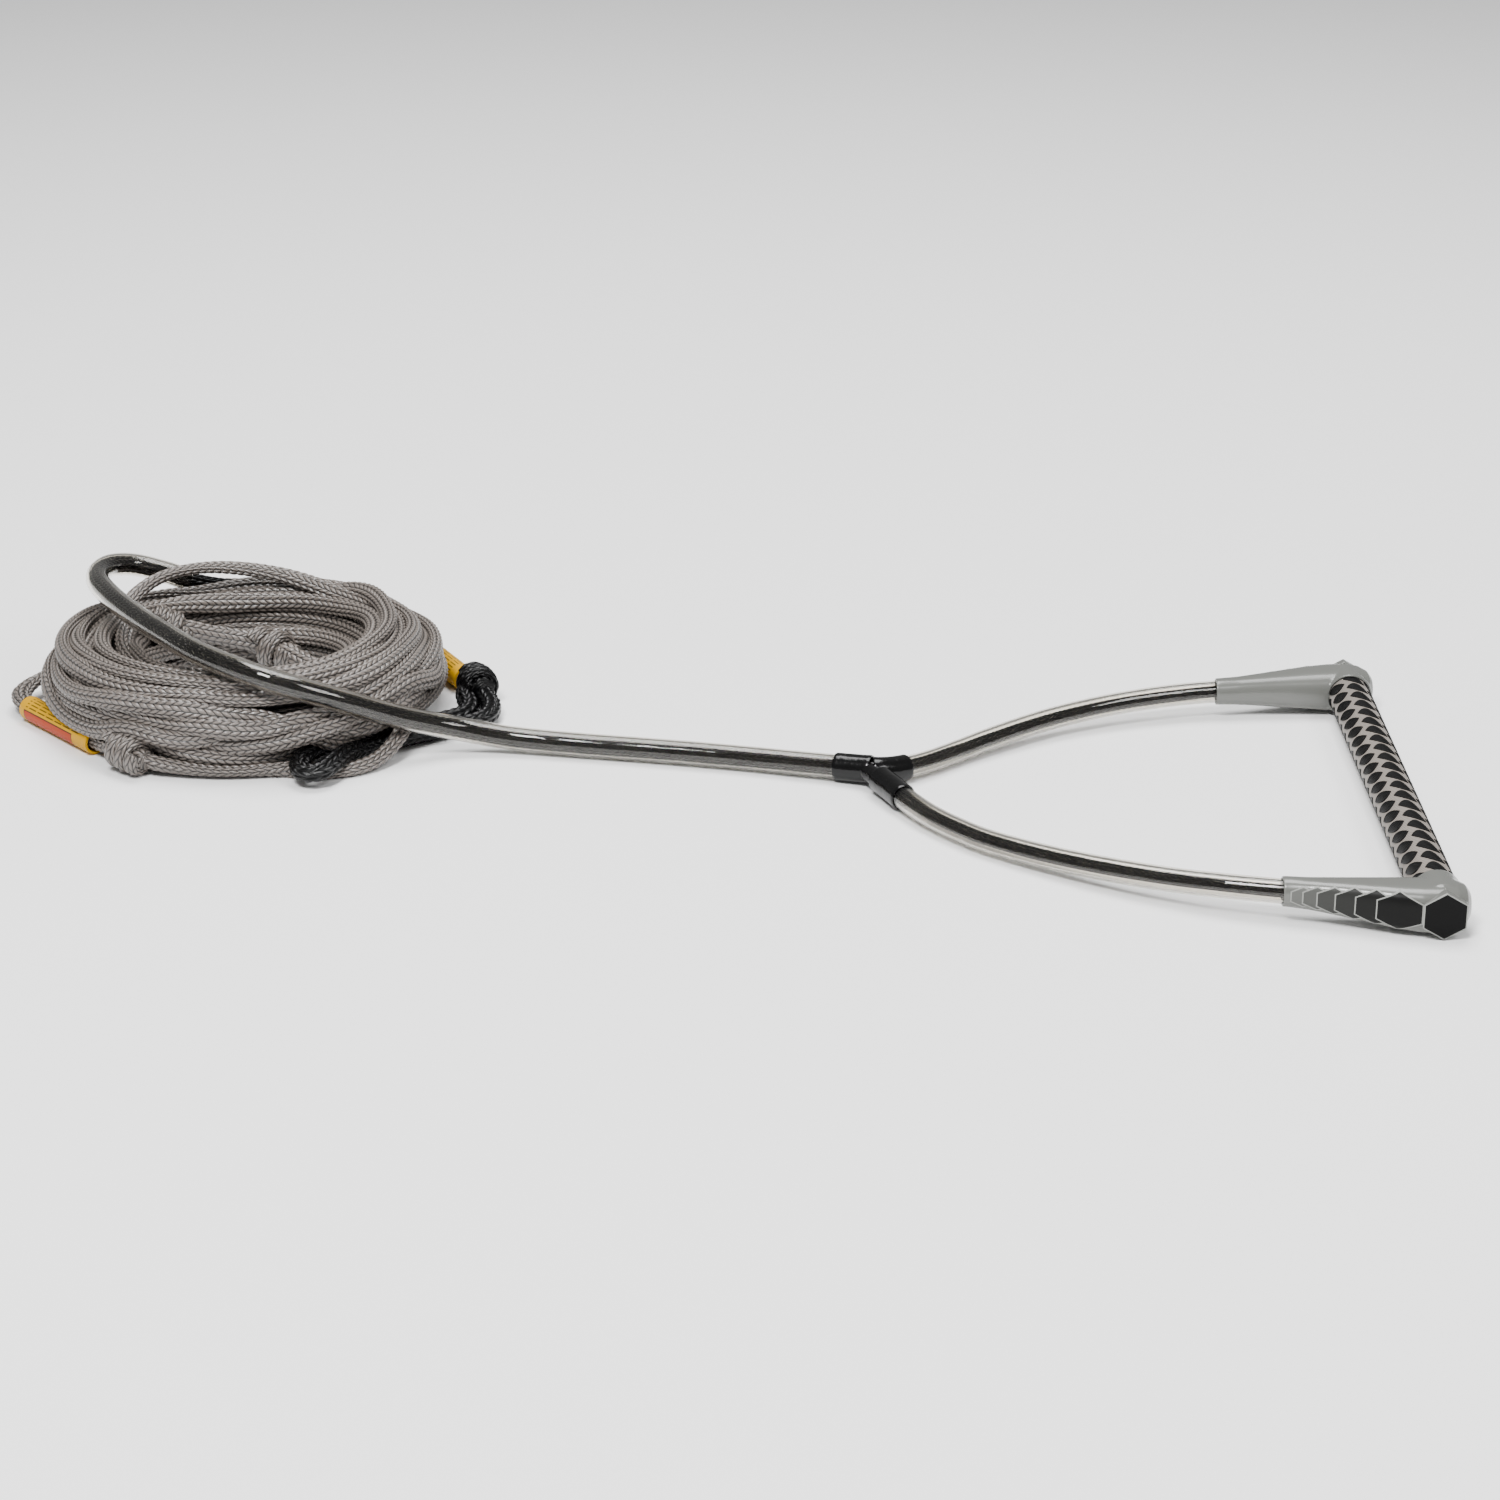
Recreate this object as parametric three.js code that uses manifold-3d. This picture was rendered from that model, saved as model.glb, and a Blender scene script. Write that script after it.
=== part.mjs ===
// Tow rope handle: a foam-cored aluminium bar in two moulded end caps, a bridle of black rope in
// clear hose that meets in a Y, one clear hose with the doubled rope, and the coiled main line with
// its knots, its two warning sleeves and the black loop that goes over the boat's tow hitch.
//
// Frame: +X runs along the pull towards the bar, +Y along the bar, +Z up. The handle lies on the
// ground, z = 0, and the origin is under the middle of its bar, legs and sleeves. Millimetres.
import * as THREE from 'three';
import Module from 'manifold-3d';
import { mergeVertices } from 'three/addons/utils/BufferGeometryUtils.js';

const wasm = await Module();
wasm.setup();

// ---- driving dimensions -------------------------------------------------------------------------
const GAP = 0.3; // clearance between pieces that touch

const BAR_WIDTH = 381; // over both end faces
const ORIGIN_X = 6.25; // the origin, under the middle of the handle, in the routes' own X
const BAR_X = 166;
const BAR_Z = 14.8;
const GRIP_R = 13.35;
const GRIP_HALF = 168; // half length, its ends hidden in the caps
const CORE_R = 11.1;
const CORE_BORE = 9.5;
const CORE_HALF = 170;
const FLOAT_HALF = 168;
const FLOAT_BORE = 5;

const ROPE_R = 4; // one strand in a leg
const LEG_R = 7.2;
const LEG_BORE = 5.4;
const MAIN_R = 7.7; // the hose on the doubled rope
const MAIN_BORE = 6.1;
const MAIN_ROPE_R = 5.2;
const SLEEVE_WALL = 0.8; // shrink sleeves
const SLEEVE_LIP = 0.8; // how far a sleeve covers the end of its hose
const SLEEVE_RINGS = 2; // rings of the hose that a sleeve covers after its end

const BOSS_R = 14.8; // the cap's ring round the grip
const BOSS_FACE = 158; // distance of its face from the middle of the bar
const BOSS_END = 176; // where the ring ends inside the cap's body
const GRIP_SOCKET = 5; // how much deeper than its face the grip's socket starts, towards the bar
const HEX_R = 14.3; // the hexagon on the cap's end face
const HEX_DEPTH = 9;
const COLLAR_R = 8.6;
const COLLAR_X = 79.3;
const SOCKET_X = 106; // the leg hose ends here, inside the cap
const CHANNEL_END = 150; // the rope's channel through a cap ends here, inside the bar
const CHANNEL_GAP = 0.6; // clearance round the rope in its channel

const LINE_R = 5; // the main line, a hollow braid
const BLACK_R = 6.2; // the boat loop's rope
const COIL_CENTRE = [-552, 169];
const COIL_PROFILE = [
  [71, 5], [84, 0.3], [103, 0.3], [117, 8], [127, 20], [129.5, 34],
  [125, 48], [113, 58], [98, 61], [82, 57], [72, 46], [69, 25],
];
const LABEL_R = 8; // warning sleeves
const LABEL_BORE = 6.2;
const LABEL_SLIDE = 4; // free run of a warning sleeve towards its knot
const SLIDE_SPARE = 1; // groove past the end of that run
const GROOVE_GAP = 0.9; // clearance of the grooves pressed into the coil
const KNOT_GAP = 0.6; // and of the hollows round the knots
const KNOT_WAIST = 0.1; // share by which a knot is drawn in at its middle

// ---- routes, chosen by hand ---------------------------------------------------------------------
// The legs from the Y to the caps, then round inside the caps and into the bar.
const NEAR_LEG = [
  [-139.5, 19, 9.6], [-134, 8, 9.2], [-128, -5, 8.8], [-113, -32, 8.4], [-96, -54, 8.2], [-80, -71, 8.4],
  [-46, -98, 9.8], [-14, -120, 12], [19, -138.5, 14], [51, -152.5, 16], [COLLAR_X, -160.8, 16.8],
  [SOCKET_X, -166, 16.4],
];
const FAR_LEG = [
  [-142, 36.5, 10.4], [-134, 40, 9.5], [-124.5, 45.7, 8.9], [-110, 57, 8.4], [-91, 75, 8.4], [-71, 92, 9.8],
  [-31, 122, 12], [9, 142, 14.2], [49, 154.8, 16], [COLLAR_X, 160.8, 16.8], [SOCKET_X, 166, 16.4],
];
const CAP_TURN = [ // near side, from the leg hose's end to the bore of the bar
  [122, -169.2, 15.9], [140, -173.6, 15.2], [150, -176, 14.9], [157.5, -177, BAR_Z], [162.7, -174.6, BAR_Z],
  [165.4, -169.6, BAR_Z], [BAR_X, -162, BAR_Z],
];
const MAIN_HOSE = [
  [-149, 39.5, 10], [-168, 46, 9], [-190, 52.5, 8.5], [-222, 61.5, 8.1], [-259, 70, 8.1], [-297, 77.5, 8.1],
  [-335, 84.5, 8.3], [-374, 90.5, 10], [-408, 89, 17], [-443, 75, 30], [-481, 58, 48.5], [-521, 53, 63],
  [-565, 77, 70.5], [-592, 108, 72.5], [-619, 146, 73], [-641, 183, 73], [-654, 213, 72.5],
  [-657, 236, 71.5], [-652, 254, 70], [-640, 264, 67], [-622, 267, 61.5], [-602, 268, 54.5],
];
const MAIN_ROPE_TAIL = [[-588, 272, 50], [-573, 279, 46], [-558, 285, 43], [-546, 289, 41.5]];
// From the coil's left side through the front warning sleeve to its knot, and on along the ground.
const FRONT_LINE = [
  [-686, 193, 15], [-695, 182, 12.5], [-700.5, 169, 10.5], [-697.5, 156, 9], [-690, 145.5, 8.4],
  [-662.7, 114.9, 8.4], [-635.5, 84.2, 8.4], [-622, 69, 10.5],
];
const FRONT_LABEL = [[-690, 145.5, 8.4], [-635.5, 84.2, 8.4]];
const FRONT_LOOP = [[-597, 46, 10], [-584, 46, 8], [-566, 45, 6], [-548, 44.5, 5.5], [-530, 47, 5.5], [-513, 51, 5.5]];
// The same strand again, past the boat loop's end: under the hose and over the loop into the coil.
const CROSS_LINE = [
  [-468, 38, 5.5], [-461, 49, 5.5], [-453, 60, 6], [-446, 70, 8], [-441, 80, 12], [-438.5, 90, 17],
  [-438.5, 101, 21], [-441, 114, 23.5], [-444, 126, 25.5],
];
// From the coil's far side through the rear warning sleeve to the boat loop's knot.
const REAR_LINE = [
  [-512, 289, 19], [-500, 296, 16], [-486, 300, 13], [-470, 297, 10.5], [-458, 286.5, 9],
  [-450.5, 273, 8.4], [-431.5, 237.3, 8.4], [-412.5, 201.5, 8.4], [-407, 191, 9.5],
];
const REAR_LABEL = [[-450.5, 273, 8.4], [-412.5, 201.5, 8.4]];
const BOAT_LOOP = [ // both legs side by side, as one hairpin
  [-397, 170, 10], [-391, 153, 8], [-393.5, 134, 7], [-412, 118, 6.6], [-434, 104.5, 6.6], [-451, 91, 7],
  [-464, 76, 8.4], [-474, 57, 9.6], [-480.5, 40, 9], [-485.5, 31.5, 8.4], [-493, 28.8, 8.4],
  [-499.5, 34, 8.6], [-500, 44, 9.2], [-493, 61, 10.4], [-482.5, 80, 10.4], [-465, 99.5, 8.4],
  [-443, 116, 7], [-422, 129.5, 6.6], [-408.5, 141, 7], [-406, 153, 8], [-409.5, 168, 10],
];
// From the hose's rope to the line, behind the coil.
const COUPLING_LINE = [[-514, 293, 35.5], [-499, 290, 32], [-485, 281, 28]];
const KNOTS = {
  front_knot: { centre: [-610, 56, 13.1], direction: [0.76, -0.62, -0.1], length: 36, width: 25, material: 'line' },
  coupling_knot: { centre: [-530, 292, 38], direction: [1, 0.05, -0.15], length: 33, width: 24, material: 'line' },
  inner_knot: { centre: [-541, 220, 23], direction: [0.65, -0.75, 0], length: 38, width: 26, material: 'line' },
  boat_loop_knot: { centre: [-402.5, 181, 13], direction: [0.4, -0.9, 0], length: 27, width: 26, material: 'black' },
};

// ---- building helpers ---------------------------------------------------------------------------
const vec = ([x, y, z]) => new THREE.Vector3(x, y, z);
const mirrored = (points) => points.map(([x, y, z]) => [x, -y, z]);

function circle(radius, sides, Type = THREE.Shape) {
  const outline = new Type();
  for (let i = 0; i < sides; i++) {
    const angle = (2 * Math.PI * i) / sides;
    const [x, y] = [radius * Math.cos(angle), radius * Math.sin(angle)];
    if (i === 0) outline.moveTo(x, y);
    else outline.lineTo(x, y);
  }
  outline.closePath();
  return outline;
}

// A tube, or a solid rope when it has no bore, along a smooth curve through the points. Its rings
// follow the points, so that tight turns have more of them than straight stretches.
function tubeAlong(points, radius, { bore = 0, sides = 8, ringsPerSpan = 1 } = {}) {
  const curve = new THREE.CatmullRomCurve3(points.map(vec), false, 'centripetal');
  curve.getPointAt = (t, target) => curve.getPoint(t, target);
  curve.getTangentAt = (t, target) => curve.getTangent(t, target);
  const section = circle(radius, sides);
  if (bore > 0) section.holes.push(circle(bore, sides, THREE.Path));
  return new THREE.ExtrudeGeometry(section, {
    steps: (points.length - 1) * ringsPerSpan, extrudePath: curve, bevelEnabled: false,
  });
}

// A turned ring or tube about the Z axis: the closed profile is [radius, height] points.
function turned(profile, sides) {
  const points = [...profile, profile[0]].map(([r, z]) => new THREE.Vector2(r, z));
  return new THREE.LatheGeometry(points, sides).rotateX(Math.PI / 2);
}

function toSolid(geometry) {
  const bare = geometry.clone();
  for (const name of Object.keys(bare.attributes)) {
    if (name !== 'position') bare.deleteAttribute(name);
  }
  const welded = mergeVertices(bare, 1e-4);
  return new wasm.Manifold(new wasm.Mesh({
    numProp: 3,
    vertProperties: new Float32Array(welded.attributes.position.array),
    triVerts: new Uint32Array(welded.index.array),
  }));
}

function toGeometry(solid) {
  const mesh = solid.getMesh();
  const geometry = new THREE.BufferGeometry();
  geometry.setAttribute('position', new THREE.BufferAttribute(mesh.vertProperties, 3));
  geometry.setIndex(new THREE.BufferAttribute(mesh.triVerts, 1));
  geometry.computeVertexNormals();
  return geometry;
}

const MATERIALS = {
  aluminium: { color: 0xb8babd, roughness: 0.35, metalness: 1 },
  foam: { color: 0x2b2b2d, roughness: 0.95, metalness: 0 },
  grip: { color: 0x8c847c, roughness: 0.75, metalness: 0 },
  urethane: { color: 0x9c9c98, roughness: 0.28, metalness: 0 },
  hose: { color: 0xd9d5cd, roughness: 0.08, metalness: 0, transparent: true, opacity: 0.35 },
  black: { color: 0x151517, roughness: 0.6, metalness: 0 },
  shrink: { color: 0x0b0b0c, roughness: 0.18, metalness: 0 },
  line: { color: 0x989189, roughness: 0.65, metalness: 0 },
  label: { color: 0xf0b400, roughness: 0.3, metalness: 0 },
};
const object = new THREE.Group();
object.position.x = -ORIGIN_X;

function add(name, geometry, material) {
  const mesh = new THREE.Mesh(geometry, new THREE.MeshStandardMaterial(MATERIALS[material]));
  mesh.name = name;
  object.add(mesh);
  return mesh;
}

// Lays a piece turned about Z along the line between two points, centred on their middle.
function layAlong(mesh, from, to) {
  const axis = vec(to).sub(vec(from)).normalize();
  mesh.quaternion.setFromUnitVectors(new THREE.Vector3(0, 0, 1), axis);
  mesh.position.copy(vec(from).add(vec(to)).multiplyScalar(0.5));
}

// ---- bar: core tube, float and grip -------------------------------------------------------------
function addBar() {
  const middle = [[BAR_X, -1, BAR_Z], [BAR_X, 1, BAR_Z]];
  const layers = [
    ['handle_core_tube', CORE_HALF, CORE_R, CORE_BORE, 'aluminium', 28],
    ['core_float', FLOAT_HALF, CORE_BORE - GAP, FLOAT_BORE, 'foam', 24],
    ['grip', GRIP_HALF, GRIP_R, CORE_R + GAP, 'grip', 32],
  ];
  for (const [name, half, radius, bore, material, sides] of layers) {
    const tube = turned([[bore, -half], [radius, -half], [radius, half], [bore, half]], sides);
    layAlong(add(name, tube, material), ...middle);
  }
}

// ---- end caps -----------------------------------------------------------------------------------
// Stations along the cap: x, the middle's distance from the bar's middle, half width, height of the
// middle, half height.
const CAP_STATIONS = [
  [COLLAR_X, 160.8, COLLAR_R, 16.8, COLLAR_R],
  [88, 161.8, 8.7, 16.7, 8.7],
  [104, 164.6, 9.8, 16.4, 9.6],
  [122, 168, 12.2, 15.9, 11.2],
  [140, 171.6, 15, 15.3, 12.8],
  [154, 173.4, 16.4, 14.9, 13.7],
  [168, 174, 16.4, BAR_Z, 14.2],
  [176, 173.6, 14.6, BAR_Z, 13.2],
  [181, 172.8, 10.6, BAR_Z, 9.8],
  [183.3, 172, 5, BAR_Z, 5],
];

// The cap's body: a turned shape whose rings are moved and widened to the stations.
function capBody(side) {
  const rings = CAP_STATIONS.length;
  const profile = [new THREE.Vector2(0, 0)];
  for (let i = 0; i < rings; i++) profile.push(new THREE.Vector2(1, i));
  profile.push(new THREE.Vector2(0, rings - 1));
  const body = new THREE.LatheGeometry(profile, 18);
  const position = body.attributes.position;
  for (let i = 0; i < position.count; i++) {
    const station = CAP_STATIONS[Math.round(position.getY(i))];
    const [x, middle, width, height, tall] = station;
    const across = -position.getX(i) * width;
    const up = position.getZ(i) * tall;
    position.setXYZ(i, x, side * middle + across, height + up);
  }
  return toSolid(body);
}

function cylinderAlongY(radius, from, to, sides) {
  const cylinder = new THREE.CylinderGeometry(radius, radius, Math.abs(to - from), sides);
  cylinder.translate(BAR_X, (from + to) / 2, BAR_Z);
  return toSolid(cylinder);
}

function hexagonPrism(side) {
  const prism = new THREE.CylinderGeometry(HEX_R, HEX_R, HEX_DEPTH, 6);
  prism.translate(BAR_X, side * (BAR_WIDTH / 2 - HEX_DEPTH / 2), BAR_Z);
  return toSolid(prism);
}

function addCap(name, side, leg) {
  const turn = side < 0 ? CAP_TURN : mirrored(CAP_TURN);
  const channel = [...leg.slice(-2), ...turn, [BAR_X, side * CHANNEL_END, BAR_Z]];
  const cap = capBody(side)
    .add(cylinderAlongY(BOSS_R, side * BOSS_FACE, side * BOSS_END, 32))
    .add(hexagonPrism(side))
    .subtract(cylinderAlongY(GRIP_R + GAP, side * (BOSS_FACE - GRIP_SOCKET), side * (GRIP_HALF + GAP), 32))
    .subtract(cylinderAlongY(CORE_R + GAP, side * BOSS_FACE, side * (CORE_HALF + GAP), 28))
    .subtract(toSolid(tubeAlong(leg.slice(-3), LEG_R + GAP, { sides: 16 })))
    .subtract(toSolid(tubeAlong(channel, ROPE_R + CHANNEL_GAP)));
  add(name, toGeometry(cap), 'urethane');
}

// ---- bridle: rope, hoses and sleeves ------------------------------------------------------------
// The bridle rope is one rope: up the near leg, through the bar, and down the far leg.
function addBridle() {
  const near = NEAR_LEG.slice(0, -1);
  const far = FAR_LEG.slice(0, -1);
  const rope = [
    ...near, NEAR_LEG.at(-1), ...CAP_TURN, [BAR_X, -CHANNEL_END, BAR_Z], [BAR_X, -60, BAR_Z],
    [BAR_X, 60, BAR_Z], [BAR_X, CHANNEL_END, BAR_Z], ...mirrored(CAP_TURN).reverse(), FAR_LEG.at(-1),
    ...far.reverse(),
  ];
  add('bridle_rope', tubeAlong(rope, ROPE_R), 'black');
  add('leg_tube_near', tubeAlong(NEAR_LEG, LEG_R, { bore: LEG_BORE, sides: 10 }), 'hose');
  add('leg_tube_far', tubeAlong(FAR_LEG, LEG_R, { bore: LEG_BORE, sides: 10 }), 'hose');
  add('leg_sleeve_near', sleeveOver(NEAR_LEG, LEG_R), 'shrink');
  add('leg_sleeve_far', sleeveOver(FAR_LEG, LEG_R), 'shrink');
  add('main_sleeve', sleeveOver(MAIN_HOSE, MAIN_R, 2), 'shrink');
}

// A shrink sleeve over a hose's first rings, which it follows.
function sleeveOver(route, hoseRadius, ringsPerSpan = 1) {
  const curve = new THREE.CatmullRomCurve3(route.map(vec), false, 'centripetal');
  const total = (route.length - 1) * ringsPerSpan;
  const points = [];
  for (let i = 0; i <= SLEEVE_RINGS; i++) points.push(curve.getPoint(i / total).toArray());
  const lip = vec(points[0]).sub(vec(points[1])).setLength(SLEEVE_LIP).add(vec(points[0])).toArray();
  const bore = hoseRadius + GAP;
  return tubeAlong([lip, ...points], bore + SLEEVE_WALL, { bore, sides: 12 });
}

// ---- main hose, its rope and the coupling to the line -------------------------------------------
function addMainHose() {
  add('main_tube', tubeAlong(MAIN_HOSE, MAIN_R, { bore: MAIN_BORE, sides: 10, ringsPerSpan: 2 }), 'hose');
  add('main_rope', tubeAlong([...MAIN_HOSE, ...MAIN_ROPE_TAIL], MAIN_ROPE_R, { ringsPerSpan: 2 }), 'black');
}

// ---- the coiled line and what lies on it --------------------------------------------------------
function placedSolid(mesh) {
  mesh.updateMatrix();
  return toSolid(mesh.geometry.clone().applyMatrix4(mesh.matrix));
}

// The coil is one ring of the outer shape of its turns, grooved where the hose and the loops press
// into it.
function addCoil(pressing) {
  const ring = turned(COIL_PROFILE, 32).translate(COIL_CENTRE[0], COIL_CENTRE[1], 0);
  let coil = toSolid(ring);
  for (const solid of pressing) coil = coil.subtract(solid);
  add('mainline_coil', toGeometry(coil), 'line');
}

function knotGeometry({ width, length }, clearance = 0) {
  const knot = new THREE.SphereGeometry(0.5, 12, 8).rotateX(Math.PI / 2);
  const position = knot.attributes.position;
  for (let i = 0; i < position.count; i++) {
    const waist = (1 - KNOT_WAIST * Math.cos(4 * Math.PI * position.getZ(i))) * (width + 2 * clearance);
    const [x, y, z] = [position.getX(i), position.getY(i), position.getZ(i)];
    position.setXYZ(i, x * waist, y * waist, z * (length + 2 * clearance));
  }
  return knot;
}

function knotMesh(knot, clearance) {
  const mesh = new THREE.Mesh(knotGeometry(knot, clearance));
  const middle = vec(knot.centre);
  const along = vec(knot.direction);
  layAlong(mesh, middle.clone().sub(along).toArray(), middle.clone().add(along).toArray());
  return mesh;
}

// A stretch of rope, whose ends stop short of the knots that they run into.
function addStretch(name, points, radius, material, knots) {
  let rope = toSolid(tubeAlong(points, radius));
  for (const knot of knots) rope = rope.subtract(placedSolid(knotMesh(KNOTS[knot], GAP)));
  add(name, toGeometry(rope), material);
}

function addLabel(name, [from, to]) {
  const half = vec(from).distanceTo(vec(to)) / 2;
  const profile = [[LABEL_BORE, -half], [LABEL_R, -half], [LABEL_R, half], [LABEL_BORE, half]];
  layAlong(add(name, turned(profile, 20), 'label'), from, to);
}

function withSlide([from, to]) {
  return [from, vec(to).add(vec(to).sub(vec(from)).setLength(LABEL_SLIDE + SLIDE_SPARE)).toArray()];
}

// The groove that a rope or hose presses into the coil, a little past both of its ends.
function groove(points, radius, ringsPerSpan = 1) {
  const ball = toSolid(new THREE.SphereGeometry(radius + GROOVE_GAP, 10, 6));
  return toSolid(tubeAlong(points, radius + GROOVE_GAP, { ringsPerSpan }))
    .add(ball.translate(points[0]))
    .add(ball.translate(points.at(-1)));
}

function addLine() {
  addLabel('warning_sleeve_front', FRONT_LABEL);
  addLabel('warning_sleeve_rear', REAR_LABEL);
  for (const [name, knot] of Object.entries(KNOTS)) {
    const { position, quaternion, geometry } = knotMesh(knot, 0);
    const mesh = add(name, geometry, knot.material);
    mesh.position.copy(position);
    mesh.quaternion.copy(quaternion);
  }
  addStretch('front_line', FRONT_LINE, LINE_R, 'line', ['front_knot']);
  addStretch('front_loop', FRONT_LOOP, LINE_R, 'line', ['front_knot']);
  addStretch('cross_line', CROSS_LINE, LINE_R, 'line', []);
  addStretch('rear_line', REAR_LINE, LINE_R, 'line', ['boat_loop_knot']);
  addStretch('coupling_line', COUPLING_LINE, LINE_R, 'line', ['coupling_knot']);
  addStretch('boat_loop', BOAT_LOOP, BLACK_R, 'black', ['boat_loop_knot']);
  addCoil([
    groove(MAIN_HOSE, MAIN_R, 2), groove([...MAIN_HOSE.slice(-3), ...MAIN_ROPE_TAIL], MAIN_ROPE_R, 2),
    groove(withSlide(FRONT_LABEL), LABEL_R), groove(FRONT_LINE, LINE_R), groove(FRONT_LOOP, LINE_R),
    groove(CROSS_LINE, LINE_R), groove(REAR_LINE, LINE_R), groove(COUPLING_LINE, LINE_R),
    groove(BOAT_LOOP, BLACK_R), ...Object.values(KNOTS).map((knot) => placedSolid(knotMesh(knot, KNOT_GAP))),
  ]);
}

addBar();
addCap('end_cap_near', -1, NEAR_LEG);
addCap('end_cap_far', 1, FAR_LEG);
addBridle();
addMainHose();
addLine();

export default object;
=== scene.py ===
"""Tow rope handle: the looks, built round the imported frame. Laid out as a Blender add-on."""
import math

import bpy
import numpy as np
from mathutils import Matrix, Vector
from mathutils.kdtree import KDTree


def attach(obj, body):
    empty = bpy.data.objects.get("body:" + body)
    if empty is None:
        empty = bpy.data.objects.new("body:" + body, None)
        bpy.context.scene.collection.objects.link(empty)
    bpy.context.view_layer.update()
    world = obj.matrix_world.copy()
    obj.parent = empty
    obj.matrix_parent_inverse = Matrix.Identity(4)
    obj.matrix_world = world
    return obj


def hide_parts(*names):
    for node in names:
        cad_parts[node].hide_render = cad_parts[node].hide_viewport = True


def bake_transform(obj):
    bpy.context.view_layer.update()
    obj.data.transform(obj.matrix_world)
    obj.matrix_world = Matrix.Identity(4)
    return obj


bl_info = {
    "name": "Tow Rope Handle",
    "version": (1, 0, 0),
    "blender": (4, 5, 0),
    "location": "View3D > Sidebar > Tow Rope",
    "description": "Builds a water sports tow rope handle with its coiled line",
    "category": "Add Mesh",
}

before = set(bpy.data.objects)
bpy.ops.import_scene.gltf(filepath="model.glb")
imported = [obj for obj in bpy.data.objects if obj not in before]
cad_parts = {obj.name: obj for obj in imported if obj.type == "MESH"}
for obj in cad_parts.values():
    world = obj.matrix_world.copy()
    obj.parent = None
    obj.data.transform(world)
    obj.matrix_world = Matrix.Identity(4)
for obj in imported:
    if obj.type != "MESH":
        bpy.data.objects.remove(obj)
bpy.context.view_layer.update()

MM = 0.001
ORIGIN_X = 6.25  # the routes below count X from this far left of the frame's origin
TAU = 2 * math.pi


# ---- sizes and colours that a user would change --------------------------------------------------
def length(name, description, default):
    return bpy.props.FloatProperty(name=name, description=description, default=default * MM, unit="LENGTH")


def linear(hex_value):
    """An sRGB hex colour as the linear numbers that a shader takes."""
    shares = [int(hex_value[i : i + 2], 16) / 255 for i in (1, 3, 5)]
    return [c / 12.92 if c <= 0.04045 else ((c + 0.055) / 1.055) ** 2.4 for c in shares] + [1.0]


def colour(name, description, hex_value):
    return bpy.props.FloatVectorProperty(
        name=name, description=description, default=linear(hex_value), size=4, min=0, max=1, subtype="COLOR")


class LineSettings(bpy.types.PropertyGroup):
    wide: length("Line width", "Width of the flattened hollow braid", 12.0)
    thick: length("Line thickness", "Thickness of the flattened hollow braid", 7.6)
    pick: length("Pick length", "Length of one yarn float along the line", 5.2)
    black_wide: length("Boat loop rope width", "Width of the boat loop's rope", 12.4)
    black_thick: length("Boat loop rope thickness", "Thickness of the boat loop's rope", 10.6)
    ring_step: length("Ring step", "Distance between two rings of a rope's mesh", 1.3)
    turns_first: bpy.props.IntProperty(
        name="First turns", description="Whole turns before the front stretch", default=14)
    turns_second: bpy.props.IntProperty(
        name="Second turns", description="Whole turns after the front stretch", default=14)
    grey: colour("Line grey", "Yarn of the main line", "#6e6660")
    # Painted shade: the colour of the gaps between the yarns stands in for the shade that falls in them.
    grey_gap_shade: colour("Line shadow", "Gaps between the yarns", "#0c0a09")
    black: colour("Rope black", "Yarn of the black ropes", "#030304")


class HandleSettings(bpy.types.PropertyGroup):
    grip_radius: length("Grip radius", "Radius of the grip's net, under its pads", 12.95)
    pad_height: length("Pad height", "How far a grip pad stands out of the net", 0.55)
    pad_pitch: length("Pad pitch", "Distance between pads along the bar", 15.3)
    pad_rows: bpy.props.IntProperty(name="Pad rows", description="Rows of pads round the grip", default=6)
    hose_clear: colour("Hose", "Clear PVC of the hoses", "#f3efe6")
    cap_grey: colour("Cap grey", "Moulded urethane of the end caps", "#646561")
    net_grey: colour("Net grey", "Net between the grip's pads", "#7d756d")
    pad_black: colour("Pad black", "The grip's pads", "#050505")
    label_yellow: colour("Sleeve yellow", "Warning sleeves", "#c49200")
    label_orange: colour("Panel orange", "Panel on the warning sleeves", "#a03200")


def line_settings():
    return bpy.context.scene.tow_line


def handle_settings():
    return bpy.context.scene.tow_handle


# ---- routes, in millimetres, as the frame's solids have them -------------------------------------
BAR_X = 166
BAR_Z = 14.8
HALF_WIDTH = 190.5
BOSS_FACE = 158
COLLAR_X = 79.3
NEAR_LEG = [
    (-142, 24, 10), (-139.5, 19, 9.6), (-134, 8, 9.2), (-128, -5, 8.8), (-113, -32, 8.4), (-96, -54, 8.2),
    (-80, -71, 8.4), (-46, -98, 9.8), (-14, -120, 12), (19, -138.5, 14), (51, -152.5, 16),
    (COLLAR_X, -160.8, 16.8), (106, -166, 16.4),
]
FAR_LEG = [
    (-146.5, 36, 10.8), (-142, 36.5, 10.4), (-134, 40, 9.5), (-124.5, 45.7, 8.9), (-110, 57, 8.4),
    (-91, 75, 8.4), (-71, 92, 9.8), (-31, 122, 12), (9, 142, 14.2), (49, 154.8, 16),
    (COLLAR_X, 160.8, 16.8), (106, 166, 16.4),
]
CAP_TURN = [
    (122, -169.2, 15.9), (140, -173.6, 15.2), (150, -176, 14.9), (157.5, -177, BAR_Z), (162.7, -174.6, BAR_Z),
    (165.4, -169.6, BAR_Z), (BAR_X, -162, BAR_Z),
]
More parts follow.
